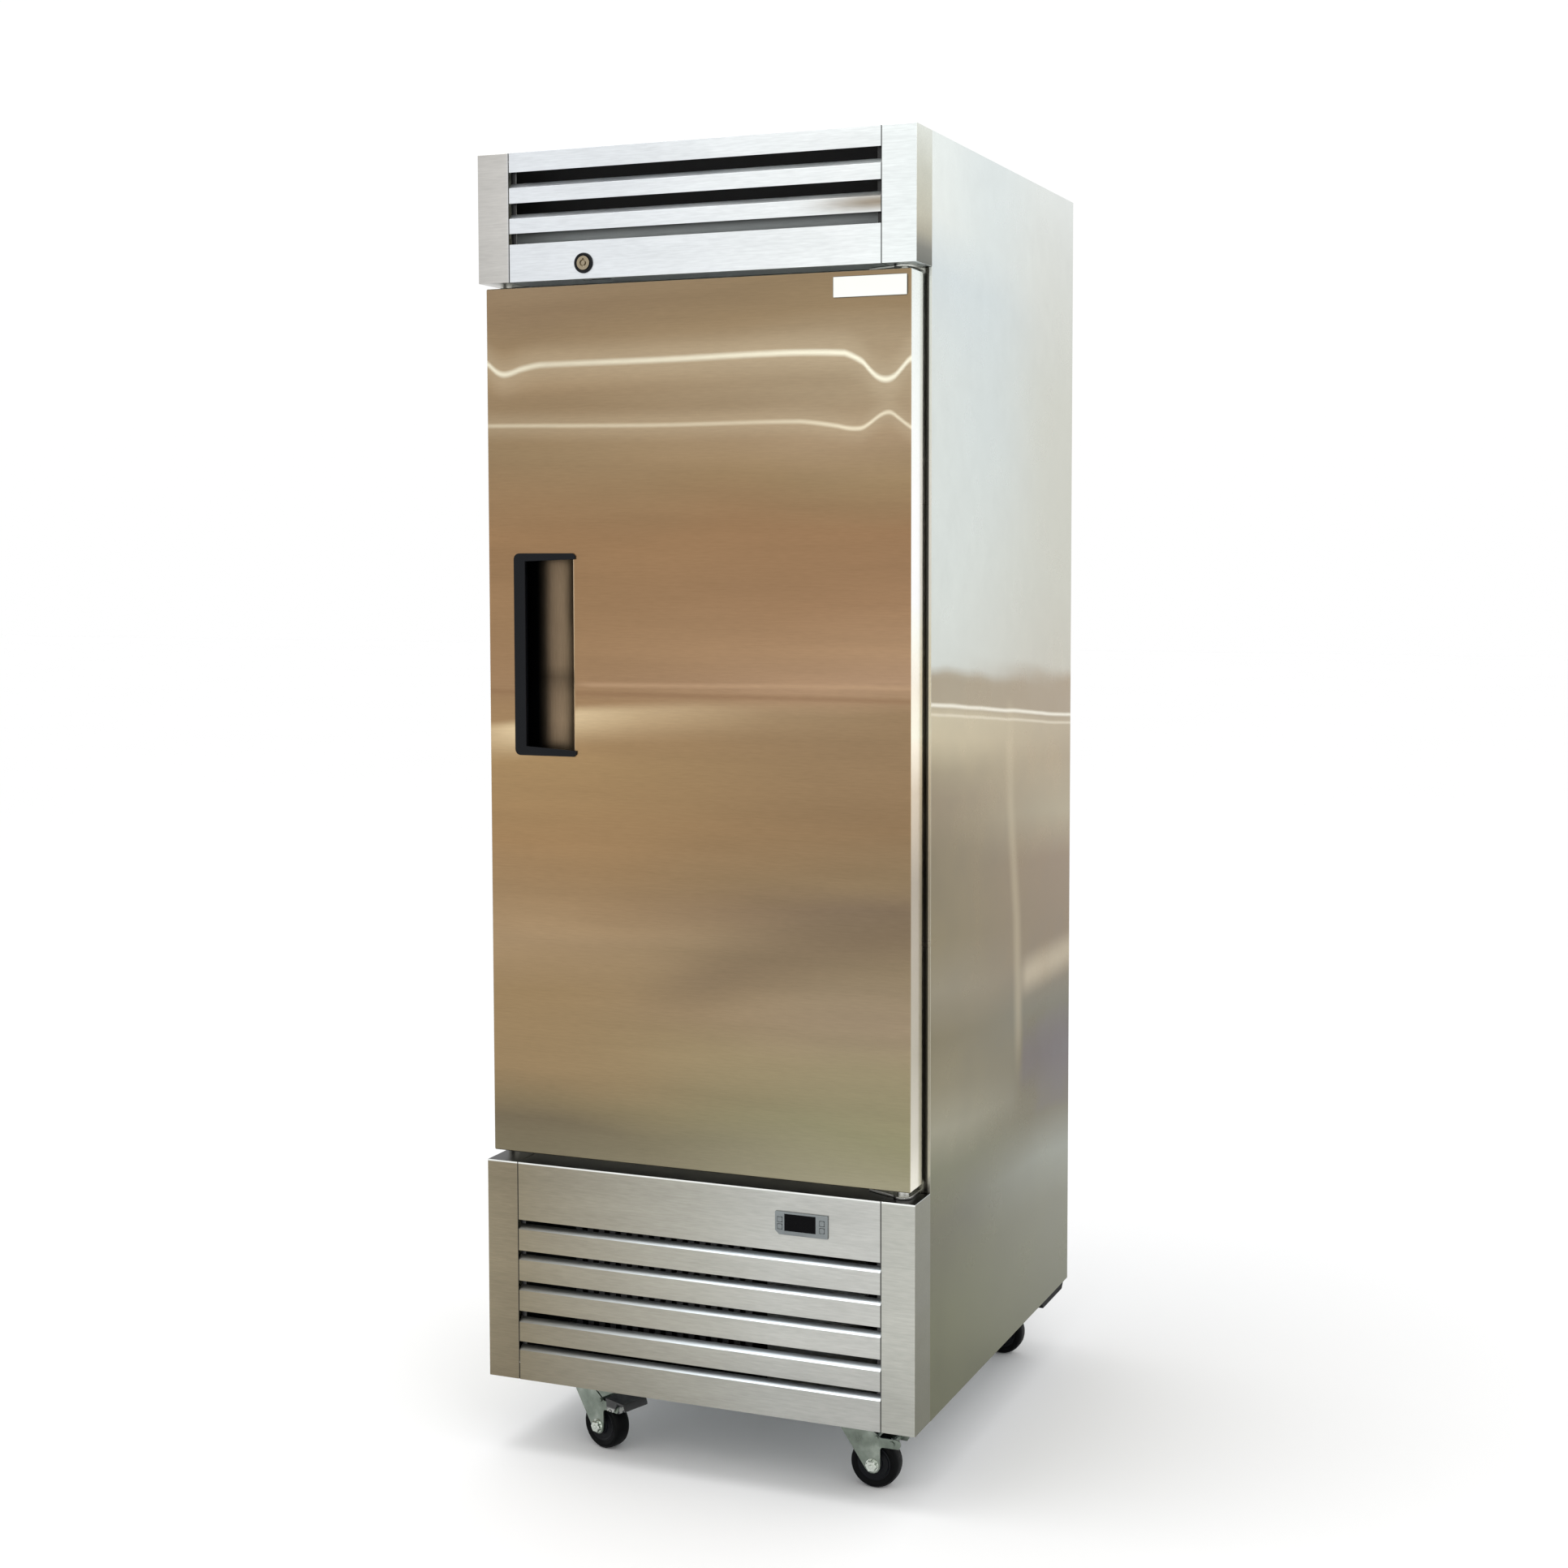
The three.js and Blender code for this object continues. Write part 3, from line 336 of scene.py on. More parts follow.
def door_glow(f, paint, sway):
    """A painted warm glow of light by the handle, and above it a thin painted light line with a painted
    shade under it.
    """
    # Heights above 1 m.
    path = f.ramp(f.x, [
        (-DOOR_HALF, 0.128),
        (-0.280, 0.134),
        (-0.190, 0.157),
        (0.000, 0.168),
        (DOOR_HALF, 0.172),
    ])
    power = f.ramp(f.x, [
        (-DOOR_HALF, 0.55),
        (-0.300, 0.85),
        (-0.200, 0.75),
        (-0.080, 0.40),
        (0.120, 0.12),
        (DOOR_HALF, 0.0),
    ])
    down = f.math("SUBTRACT", f.math("ADD", path, 1.0), f.z)
    glow = f.times(f.span(down, -0.012, 0.006), f.span(down, 0.004, 0.060, 1.0, 0.0), power)
    paint = f.mix(paint, srgb(226, 204, 165), glow)
    rise = f.span(f.x, -0.2, 0.34, 0, 0.006)
    line = f.line(f.z, f.math("ADD", f.vary(sway, 0.003, 1.196), rise), 0.006)
    paint = f.mix(paint, srgb(190, 158, 126), f.times(line, f.span(f.x, -0.21, -0.16), 0.55))
    shade = f.line(f.z, f.vary(sway, 0.003, 1.183), 0.007)
    return f.mix(paint, srgb(138, 107, 80), f.times(shade, 0.45))


def door_glints(f, paint):
    """Two thin wavy painted glints near the top, in soft painted halos."""
    # Heights above 1.6 m and above 1.5 m.
    upper = f.math("ADD", 1.6, f.ramp(f.x, [
        (-DOOR_HALF, 0.084),
        (-0.325, 0.066),
        (-0.308, 0.061),
        (-0.285, 0.070),
        (-0.250, 0.077),
        (-0.050, 0.076),
        (0.120, 0.081),
        (0.240, 0.079),
        (0.268, 0.064),
        (0.284, 0.044),
        (0.300, 0.036),
        (0.316, 0.040),
        (0.330, 0.058),
        (DOOR_HALF, 0.068),
    ], "B_SPLINE"))
    lower = f.math("ADD", 1.5, f.ramp(f.x, [
        (-DOOR_HALF, 0.087),
        (-0.200, 0.084),
        (-0.020, 0.080),
        (0.170, 0.084),
        (0.230, 0.073),
        (0.265, 0.066),
        (0.285, 0.082),
        (0.305, 0.095),
        (0.320, 0.086),
        (DOOR_HALF, 0.066),
    ], "B_SPLINE"))
    paint = f.mix(paint, srgb(214, 198, 170), f.times(f.line(f.z, upper, 0.045), 0.28))
    paint = f.mix(paint, srgb(206, 190, 162), f.times(f.line(f.z, lower, 0.030), 0.25))
    power = f.ramp(f.x, [
        (-DOOR_HALF, 0.75), (-0.22, 0.5), (0.05, 0.72), (0.25, 1.0), (DOOR_HALF, 0.9),
    ])
    paint = f.mix(paint, srgb(255, 250, 226), f.times(f.line(f.z, upper, 0.0072), power))
    power = f.ramp(f.x, [(-DOOR_HALF, 0.45), (0.10, 0.45), (0.26, 0.85), (DOOR_HALF, 0.75)])
    return f.mix(paint, srgb(243, 232, 204), f.times(f.line(f.z, lower, 0.0052), power))


def door_edge(f):
    """Plain steel on the door's narrow edges, with a painted reflection that is bright above the handle
    and duller below.
    """
    edge = f.ramp(f.z, [
        (0.473, srgb(222, 218, 204)),
        (0.540, srgb(190, 185, 170)),
        (0.670, srgb(162, 155, 137)),
        (0.920, srgb(160, 148, 130)),
        (1.050, srgb(206, 190, 166)),
        (1.130, srgb(250, 240, 220)),
        (1.200, srgb(240, 232, 214)),
        (1.360, srgb(252, 254, 250)),
        (1.790, srgb(224, 230, 227)),
    ])
    return f.dim(edge, 1.12)


def door_steel():
    """Tan brushed sheet with painted reflections of the room, and lighter narrow edges."""
    f = Finish("door_steel", metallic=1.0)
    sway = f.noise((1.8, 1, 4.5), detail=2, shift=(3, 0, 1))
    clouds = f.noise((2.0, 1, 19), detail=4, roughness=0.55)
    paint = door_reflection_bands(f, f.math("ADD", f.z, f.vary(sway, 0.03, 0.0)))
    paint = f.dim(paint, f.vary(clouds, 0.085))
    paint = door_shadow(f, paint)
    paint = door_glow(f, paint, sway)
    paint = door_glints(f, paint)
    front = f.span(f.facing_y, -0.85, -0.45, 1.0, 0.0)
    brushed(f, f.mix(door_edge(f), paint, front), grain=0.03, drift=0.025)
    f.set(Roughness=f.math("ADD", f.span(front, 0, 1, -0.17, 0.0), f.vary(clouds, 0.04, 0.33)))
    return f.material


def side_reflection_bands(f, height):
    """Painted reflections of the room in level bands, cool and pale above, warm and darker below,
    changing from front to rear.
    """
    front = f.ramp(height, [
        (0.117, srgb(136, 137, 120)),
        (0.260, srgb(134, 135, 118)),
        (0.400, srgb(128, 127, 116)),
        (0.480, srgb(136, 136, 120)),
        (0.540, srgb(158, 155, 139)),
        (0.610, srgb(146, 140, 121)),
        (0.680, srgb(138, 131, 112)),
        (0.750, srgb(151, 144, 127)),
        (0.830, srgb(145, 136, 115)),
        (0.960, srgb(147, 137, 117)),
        (1.040, srgb(159, 147, 127)),
        (1.080, srgb(172, 161, 138)),
        (1.125, srgb(201, 190, 164)),
        (1.160, srgb(203, 193, 168)),
        (1.178, srgb(176, 165, 145)),
        (1.214, srgb(174, 163, 143)),
        (1.231, srgb(213, 217, 211)),
        (1.400, srgb(216, 222, 218)),
        (1.665, srgb(217, 223, 220)),
        (1.800, srgb(213, 221, 222)),
        (1.880, srgb(231, 236, 232)),
        (1.992, srgb(234, 240, 237)),
    ])
    rear = f.ramp(height, [
        (0.117, srgb(128, 129, 114)),
        (0.240, srgb(136, 136, 123)),
        (0.340, srgb(141, 141, 129)),
        (0.420, srgb(155, 157, 148)),
        (0.500, srgb(126, 121, 107)),
        (0.590, srgb(122, 117, 103)),
        (0.680, srgb(130, 128, 117)),
        (0.760, srgb(142, 129, 111)),
        (0.930, srgb(153, 137, 118)),
        (1.010, srgb(176, 166, 144)),
        (1.100, srgb(176, 162, 139)),
        (1.160, srgb(186, 173, 150)),
        (1.178, srgb(172, 158, 138)),
        (1.232, srgb(174, 160, 140)),
        (1.254, srgb(199, 196, 184)),
        (1.400, srgb(202, 202, 191)),
        (1.700, srgb(205, 206, 196)),
        (1.950, srgb(214, 217, 212)),
        (2.054, srgb(224, 228, 225)),
    ])
    return f.mix(front, rear, f.span(f.y, -0.34, 0.40))


def side_clouds(f, paint, height, patches):
    """A painted cool reflection high up, and mottling that grows weaker above the middle."""
    cool = f.times(f.line(f.y, -0.05, 0.30), f.span(height, 1.35, 1.65), 0.35)
    paint = f.mix(paint, srgb(208, 220, 224), cool)
    low = f.span(height, 1.05, 1.25, 1.0, 0.25)
    return f.dim(paint, f.math("ADD", 1.0, f.times(f.vary(patches, 0.09, 0.0), low)))


def side_streaks(f, paint):
    """A tall painted light streak of reflection in the lower half, and a painted light and a painted
    dark reflection patch by the rear edge.
    """
    path = f.ramp(f.z, [(0.50, 0.110), (0.80, 0.090), (1.00, 0.052), (1.17, 0.046)])
    ends = f.times(f.span(f.z, 0.50, 0.62), f.span(f.z, 1.13, 1.17, 0.34, 0.0))
    paint = f.mix(paint, srgb(204, 192, 166), f.times(f.line(f.y, path, 0.034), ends))
    patch = f.times(f.line(f.z, 0.700, 0.045), f.span(f.y, 0.09, 0.16), 0.8)
    paint = f.mix(paint, srgb(190, 178, 156), patch)
    patch = f.times(f.line(f.z, 0.560, 0.110), f.span(f.y, 0.06, 0.13), 0.5)
    return f.mix(paint, srgb(112, 105, 89), patch)


def side_glints(f, paint, level):
    """Two thin painted glints, one above the other, at the middle."""
    paint = f.mix(paint, srgb(250, 246, 232), f.times(f.line(level, 1.174, 0.0050), 0.8))
    return f.mix(paint, srgb(240, 232, 212), f.times(f.line(level, 1.160, 0.0040), 0.5))


def side_unveiled(f, paint):
    """A deeper colour at a shallow angle, where sheet metal mirrors more of the white room."""
    shallow = f.add("ShaderNodeLayerWeight").outputs["Facing"]
    white = f.span(f.z, 0.5, 1.9, 0.160, 0.10, smooth=False)
    return f.unveil(paint, f.times(white, f.span(shallow, 0.30, 0.58)))


def side_folds(f, paint):
    """Inner faces painted dark as shade, and light folded edges with a painted dark reflection where
    they meet the door frame.
    """
    # Inner faces painted dark as shade.
    inner = f.span(f.times(f.facing_x, f.x), -0.02, 0.02, 1.0, 0.0)
    paint = f.mix(paint, srgb(52, 54, 54), f.times(f.math("ABSOLUTE", f.facing_x), inner))
    fold = f.ramp(f.z, [
        (0.117, srgb(170, 170, 160)),
        (1.200, srgb(212, 206, 190)),
        (1.990, srgb(226, 228, 224)),
    ])
    # A painted dark reflection on the front folds where they meet the door frame.
    outward = f.math("ABSOLUTE", f.x)
    rim = f.times(
        f.span(outward, SHEET_HIGH.x - 12 * MM, SHEET_HIGH.x - 9 * MM),
        f.span(outward, SHEET_HIGH.x - 5 * MM, SHEET_HIGH.x - 3.5 * MM, 1.0, 0.0),
        f.span(f.facing_y, -0.9, -0.5, 1.0, 0.0),
    )
    fold = f.mix(fold, srgb(74, 72, 66), rim)
    return f.mix(paint, fold, f.span(f.math("ABSOLUTE", f.facing_y), 0.5, 0.9))


def side_steel():
    """Glossier sheet with painted reflections of the room on the right side, and plainer on the left."""
    f = Finish("side_steel", metallic=1.0)
    sway = f.noise((1, 2.6, 3.4), detail=3)
    patches = f.noise((1, 7, 9), detail=4, roughness=0.6, shift=(0, 2, 5))
    slope = f.span(f.y, SHEET_LOW.y, SHEET_HIGH.y, 0.0, 0.062, smooth=False)
    level = f.math("ADD", f.z, slope)
    height = f.math("ADD", level, f.vary(sway, 0.012, 0.0))
    paint = side_clouds(f, side_reflection_bands(f, height), height, patches)
    paint = side_streaks(f, paint)
    paint = side_glints(f, paint, f.math("ADD", level, f.vary(sway, 0.003, 0.0)))
    paint = side_unveiled(f, paint)
    # A plainer painted gradient of light on the left side, darker below and lighter above.
    plain = f.ramp(f.z, [
        (0.117, srgb(158, 158, 148)),
        (1.100, srgb(184, 180, 166)),
        (1.990, srgb(220, 224, 221)),
    ])
    paint = f.mix(paint, plain, f.span(f.x, -0.1, 0.1, 0.72, 0.0))
    brushed(f, side_folds(f, paint), grain=0.02, drift=0.02)
    # Wrinkles in the film by the top rear corner take the place of the brushing's bump.
    film = f.noise((1, 60, 9), detail=4, roughness=0.6, distortion=0.6)
    corner = f.times(f.span(f.y, 0.28, 0.40), f.span(f.z, 1.80, 1.97))
    f.bump(f.times(film, corner), 0.0012, 0.3)
    f.set(Roughness=f.vary(patches, 0.05, 0.25))
    return f.material


def slot_shade_faces(f):
    """1 on the faces behind the louvres, which are painted near black as shade: backs, set-back strips
    and the seams by the posts.
    """
    back = f.span(f.facing_y, 0.2, 0.6)
    set_back = f.span(f.y, HEADER_LOW.y + 5 * MM, HEADER_LOW.y + 6 * MM)
    strip = f.times(set_back, f.span(f.facing_y, -0.95, -0.85, 1.0, 0.0))
    seam = f.line(f.math("ABSOLUTE", f.x), POST_SEAM, 1.6 * MM)
    return f.math("MAXIMUM", f.math("MAXIMUM", back, strip), seam)


def header_steel():
    """The header's satin bands of painted reflection, bright to the right, with a painted warm
    reflection on the lower louvre.
    """
    f = Finish("header_steel", metallic=1.0)
    paint = f.ramp(f.x, [
        (-0.350, srgb(190, 188, 184)),
        (-0.299, srgb(198, 196, 192)),
        (-0.297, srgb(220, 224, 228)),
        (-0.100, srgb(226, 230, 233)),
        (0.120, srgb(234, 238, 239)),
        (0.250, srgb(239, 243, 243)),
        (0.350, srgb(238, 244, 243)),
    ])
    # A painted warm reflection on the lower louvre.
    smear_and_reflection = f.times(
        f.line(f.z, 1.886, 0.020),
        f.span(f.x, 0.15, 0.29),
        f.span(f.x, HEADER_HIGH.x, POST_SEAM, 0.9, 0.0),
    )
    paint = f.mix(paint, srgb(150, 136, 116), smear_and_reflection)
    # Painted shade on the side faces, darker towards the bottom.
    side = f.ramp(f.z, [
        (1.800, srgb(92, 95, 86)),
        (1.822, srgb(116, 116, 106)),
        (1.845, srgb(170, 165, 146)),
        (1.870, srgb(190, 187, 168)),
        (1.930, srgb(200, 201, 186)),
        (1.992, srgb(222, 226, 218)),
    ])
    paint = f.mix(paint, side, f.span(f.math("ABSOLUTE", f.facing_x), 0.5, 0.9))
    cloud = f.noise((7, 1, 30), detail=3)
    paint = f.dim(paint, f.vary(cloud, 0.03))
    # The faces behind the louvres are painted near black as shade.
    slot_shade = slot_shade_faces(f)
    paint = f.mix(paint, srgb(10, 10, 11), slot_shade)
    brushed(f, paint, grain=0.04, drift=0.03)
    f.set(Roughness=f.vary(cloud, 0.04, 0.34), Metallic=f.span(slot_shade, 0, 1, 1.0, 0.0))
    return f.material


def grille_steel():
    """The lower grille's bands of painted reflection: warm and dark at the left, pale at the right."""
    f = Finish("grille_steel", metallic=1.0)
    paint = f.ramp(f.x, [
        (-0.350, srgb(134, 125, 105)),
        (-0.299, srgb(130, 121, 102)),
        (-0.297, srgb(136, 128, 109)),
        (-0.150, srgb(150, 146, 133)),
        (0.000, srgb(166, 165, 156)),
        (0.130, srgb(180, 181, 176)),
        (0.296, srgb(184, 185, 181)),
        (0.298, srgb(176, 177, 170)),
        (0.350, srgb(178, 179, 172)),
    ])
    # Painted light and shade by height, darkest at the bottom.
    height_light = f.ramp(f.z, [
        (0.117, 0.86), (0.180, 0.94), (0.300, 1.06), (0.360, 1.08), (0.430, 0.98), (0.458, 1.0),
    ])
    paint = f.dim(paint, height_light)
    # Painted shade on the side faces.
    side = f.ramp(f.z, [
        (0.117, srgb(112, 112, 94)),
        (0.300, srgb(116, 116, 102)),
        (0.458, srgb(118, 118, 104)),
    ])
    paint = f.mix(paint, side, f.span(f.math("ABSOLUTE", f.facing_x), 0.5, 0.9))
    # A painted reflection on the up-facing lips, dark at the left and bright at the right.
    lips = f.span(f.facing_z, 0.3, 0.6)
    lip_highlight = f.ramp(f.x, [
        (-0.30, srgb(120, 118, 110)),
        (-0.05, srgb(196, 202, 204)),
        (0.10, srgb(226, 236, 242)),
        (0.30, srgb(236, 244, 248)),
    ])
    paint = f.mix(paint, lip_highlight, lips)
    cloud = f.noise((5, 1, 24), detail=4, roughness=0.6)
    paint = f.dim(paint, f.vary(cloud, 0.07))
    # Painted shade on the flat top faces below the door.
    top = f.times(f.span(f.facing_z, 0.8, 0.95), f.span(f.z, GRILLE_TOP - 8 * MM, GRILLE_TOP - 3 * MM))
    paint = f.mix(paint, srgb(12, 12, 11), top)
    # A painted highlight along the front top edge.
    crest_highlight = f.span(f.z, GRILLE_TOP - 2.8 * MM, GRILLE_TOP - 1.8 * MM)
    crest_highlight = f.times(crest_highlight, f.span(f.facing_y, -0.5, -0.3, 0.85, 0.0))
    paint = f.mix(paint, srgb(238, 241, 238), crest_highlight)
    # The faces behind the louvres are painted near black as shade.
    slot_shade = slot_shade_faces(f)
    paint = f.mix(paint, srgb(8, 8, 9), slot_shade)
    brushed(f, paint, grain=0.05, drift=0.05)
    f.set(Roughness=f.vary(cloud, 0.05, 0.33), Metallic=f.span(slot_shade, 0, 1, 1.0, 0.0))
    return f.material


def face_steel():
    """The frame round the mouth: light steel, darker towards the bottom, and behind the header painted
    black as shade, with one painted pale strip of light.
    """
    f = Finish("face_steel")
    behind = f.span(f.z, HEADER_LOW.z - 4 * MM, HEADER_LOW.z)
    steel = f.ramp(f.z, [
        (0.46, srgb(184, 184, 174)),
        (1.20, srgb(212, 208, 194)),
        (1.80, srgb(226, 228, 224)),
    ])
    cloud = f.noise((6, 6, 20), detail=3)
    steel = f.dim(steel, f.vary(cloud, 0.04))
    # Behind the header: painted black shade with one painted pale strip of light.
    lit_strip = f.mix(srgb(10, 10, 11), srgb(226, 232, 232), f.line(f.z, 1.870, 0.016))
    brushed(f, f.mix(steel, lit_strip, behind), grain=0.04, drift=0.03)
    f.set(Metallic=f.span(behind, 0, 1, 1.0, 0.0), Roughness=f.span(behind, 0, 1, 0.32, 0.7))
    return f.material


def scoop_steel():
    """The curved sheet in the handle: painted shade, near black, by the bar, giving way to tan that is
    lighter at its free edge.
    """
    f = Finish("scoop_steel", metallic=1.0)
    # Painted shade in the recess by the bar, giving way to tan towards the free edge.
    across = f.ramp(f.x, [
        (-0.296, srgb(10, 12, 16)),
        (-0.274, srgb(16, 17, 20)),
        (-0.262, srgb(80, 70, 58)),
        (-0.250, srgb(142, 122, 99)),
        (-0.235, srgb(158, 136, 110)),
        (-0.205, srgb(168, 146, 117)),
        (-0.198, srgb(186, 162, 132)),
        (-0.195, srgb(206, 184, 154)),
    ])
    # Painted bands of light and shade along the handle's height.
    along = f.ramp(f.z, [
        (1.09, 0.70),
        (1.14, 1.10),
        (1.18, 0.92),
        (1.205, 0.60),
        (1.225, 0.95),
        (1.33, 1.0),
        (1.39, 0.85),
    ])
    cloud = f.noise((20, 20, 9), detail=3)
    paint = f.dim(f.dim(across, along), f.vary(cloud, 0.12))
    brushed(f, paint, grain=0.05, drift=0.05, along="Z")
    f.set(Roughness=f.vary(cloud, 0.05, 0.33))
    return f.material


def liner_steel():
    """Bright brushed lining sheet."""
    f = Finish("liner_steel", metallic=1.0)
    cloud = f.noise((3, 3, 9), detail=4)
    paint = f.dim(srgb(206, 208, 206), f.vary(cloud, 0.06))
    brushed(f, paint, grain=0.05, drift=0.05, along="Z")
    f.set(Roughness=f.vary(cloud, 0.05, 0.36))
    return f.material


def hinge_steel():
    """Bright steel brackets with a faint cloudy wear."""
    f = Finish("hinge_steel", metallic=1.0)
    cloud = f.noise((60, 60, 60), detail=4)
    brushed(f, f.dim(srgb(202, 202, 196), f.vary(cloud, 0.08)), grain=0.06, drift=0.03)
    f.set(Roughness=f.vary(cloud, 0.06, 0.3))
    return f.material


def galvanised():
    """Zinc-dipped sheet with a pattern of crystals."""
    f = Finish("galvanised_steel", metallic=0.9)
    crystals = f.cells((120, 120, 120), output="Color")
    tone = f.add("ShaderNodeSeparateColor")
    f.feed(tone.inputs[0], crystals)
    tone = tone.outputs[0]
    cloud = f.noise((4, 4, 4), detail=4)
    color = f.mix(srgb(160, 166, 169), srgb(184, 189, 191), tone)
    f.set(Base_Color=f.dim(color, f.vary(cloud, 0.05)))
    f.set(Roughness=f.span(tone, 0, 1, 0.34, 0.56, smooth=False))
    f.bump(f.noise((240, 240, 240), detail=3), 0.0001, 0.4)
    return f.material


def zinc():
    """Greenish-grey passivated zinc on the casters, in cloudy patches."""
    f = Finish("zinc_plate", metallic=0.95)
    cloud = f.noise((34, 34, 34), detail=3)
    fine = f.noise((620, 620, 620), detail=2)
    color = f.ramp(cloud, [
        (0.25, srgb(92, 100, 92)),
        (0.50, srgb(124, 133, 124)),
        (0.75, srgb(160, 168, 159)),
    ])
    f.set(Base_Color=f.dim(color, f.vary(fine, 0.06)), Roughness=f.vary(cloud, 0.1, 0.34))
    f.bump(fine, 0.00006, 0.5)
    return f.material


def fins():
    """Aluminium fins as close parallel lines, with painted shade in the gaps between them."""
    f = Finish("fin_aluminium", metallic=1.0)
    gap = 2.4 * MM
    lines = f.math("SINE", f.math("MULTIPLY", f.x, 2 * math.pi / gap))
    cloud = f.noise((30, 30, 30), detail=3)
    color = f.mix(srgb(96, 100, 104), srgb(206, 210, 213), f.span(lines, -0.6, 0.8))
    f.set(Base_Color=f.dim(color, f.vary(cloud, 0.1)), Roughness=f.vary(cloud, 0.08, 0.42))
    f.bump(lines, 0.0005, 0.6)
    return f.material


def chrome(name, tint):
    """Bright plating with faint handling marks."""
    f = Finish(name, metallic=1.0)
    marks = f.noise((90, 90, 90), detail=4, roughness=0.65)
    fine = f.noise((900, 900, 900), detail=1)
    f.set(Base_Color=f.dim(tint, f.vary(marks, 0.06)), Roughness=f.span(marks, 0.3, 0.8, 0.1, 0.26))
    f.bump(fine, 0.00002, 0.3)
    return f.material


def plastic(name, color, rough, spread=0.08, shine=0.4):
    """Moulded plastic with a fine spark-eroded grain."""
    f = Finish(name, Specular_IOR_Level=shine)
    grain = f.noise((900, 900, 900), detail=2)
    cloud = f.noise((24, 24, 24), detail=3)
    f.set(Base_Color=f.dim(color, f.vary(cloud, spread)), Roughness=f.vary(grain, 0.08, rough))
    f.bump(grain, 0.00008, 0.4)
    return f.material


def rubber(name, color, rough=0.72, shine=0.18):
    """Matt rubber with bloom and fine scuffs."""
    f = Finish(name, Specular_IOR_Level=shine)
    bloom = f.noise((40, 40, 40), detail=5, roughness=0.65)
    scuffs = f.noise((500, 120, 500), detail=3)
    f.set(Base_Color=f.dim(color, f.vary(bloom, 0.25)), Roughness=f.vary(scuffs, 0.1, rough))
    f.bump(scuffs, 0.0001, 0.5)
    return f.material


def paint_coat(name, color, rough):
    """Sprayed enamel with a slight orange peel and dust."""
    f = Finish(name, Coat_Weight=0.25, Coat_Roughness=0.2)
    peel = f.noise((260, 260, 260), detail=2)
    dust = f.noise((18, 18, 18), detail=5, roughness=0.65)
    f.set(Base_Color=f.dim(color, f.vary(dust, 0.2)), Roughness=f.vary(dust, 0.08, rough))
    f.bump(peel, 0.00015, 0.4)
    return f.material


def pedal_paint():
    """Black enamel, worn to bright metal at the foot lever's tip."""
    f = Finish("pedal_paint", Coat_Weight=0.2, Coat_Roughness=0.25)
    wear = f.noise((130, 130, 130), detail=5, roughness=0.7)
    tip = f.span(f.z, 0.078, 0.071)
    worn = f.times(f.span(wear, 0.42, 0.56), f.span(tip, 0.0, 1.0))
    f.set(Base_Color=f.mix(srgb(20, 21, 22), srgb(196, 198, 194), worn))
    f.set(Metallic=worn, Roughness=f.vary(wear, 0.12, 0.42))
    f.bump(wear, 0.0002, 0.4)
    return f.material


def foam():
    """Sawn polyurethane foam with small pores."""
    f = Finish("foam", Specular_IOR_Level=0.2)
    pores = f.cells((420, 420, 420))
    cloud = f.noise((9, 9, 9), detail=4)
    color = f.mix(srgb(196, 176, 118), srgb(226, 208, 152), f.span(pores, 0.1, 0.6))
    f.set(Base_Color=f.dim(color, f.vary(cloud, 0.08)), Roughness=0.92)
    f.bump(pores, 0.0006, 0.8)
    return f.material


def window_glass():
    """The display's smoked window."""
    f = Finish("display_window", Specular_IOR_Level=0.06)
    smear_and_reflection = f.noise((60, 60, 160), detail=4, roughness=0.6)
    f.set(Base_Color=f.mix(srgb(2, 2, 3), srgb(7, 7, 9), smear_and_reflection), Roughness=f.vary(smear_and_reflection, 0.05, 0.14))
    f.bump(smear_and_reflection, 0.00002, 0.3)
    return f.material


def badge_plate():
    """A blank off-white plate with a thin dark line round its rim."""
    low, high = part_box("badge")
    f = Finish("badge_plate", Specular_IOR_Level=0.3)
    middle = (low + high) / 2
    away_x = f.math("ABSOLUTE", f.math("SUBTRACT", f.x, middle.x))
    away_z = f.math("ABSOLUTE", f.math("SUBTRACT", f.z, middle.z))
    across = f.math("SUBTRACT", (high.x - low.x) / 2, away_x)
    up = f.math("SUBTRACT", (high.z - low.z) / 2, away_z)
    rim = f.span(f.math("MINIMUM", across, up), 0.0004, 0.0012, 1.0, 0.0)
    cloud = f.noise((30, 30, 30), detail=3)
    color = f.mix(srgb(236, 238, 232), srgb(70, 66, 60), rim)
    f.set(Base_Color=f.dim(color, f.vary(cloud, 0.015)), Roughness=f.vary(cloud, 0.05, 0.35))
    f.bump(f.noise((500, 500, 500), detail=2), 0.00003, 0.3)
    return f.material


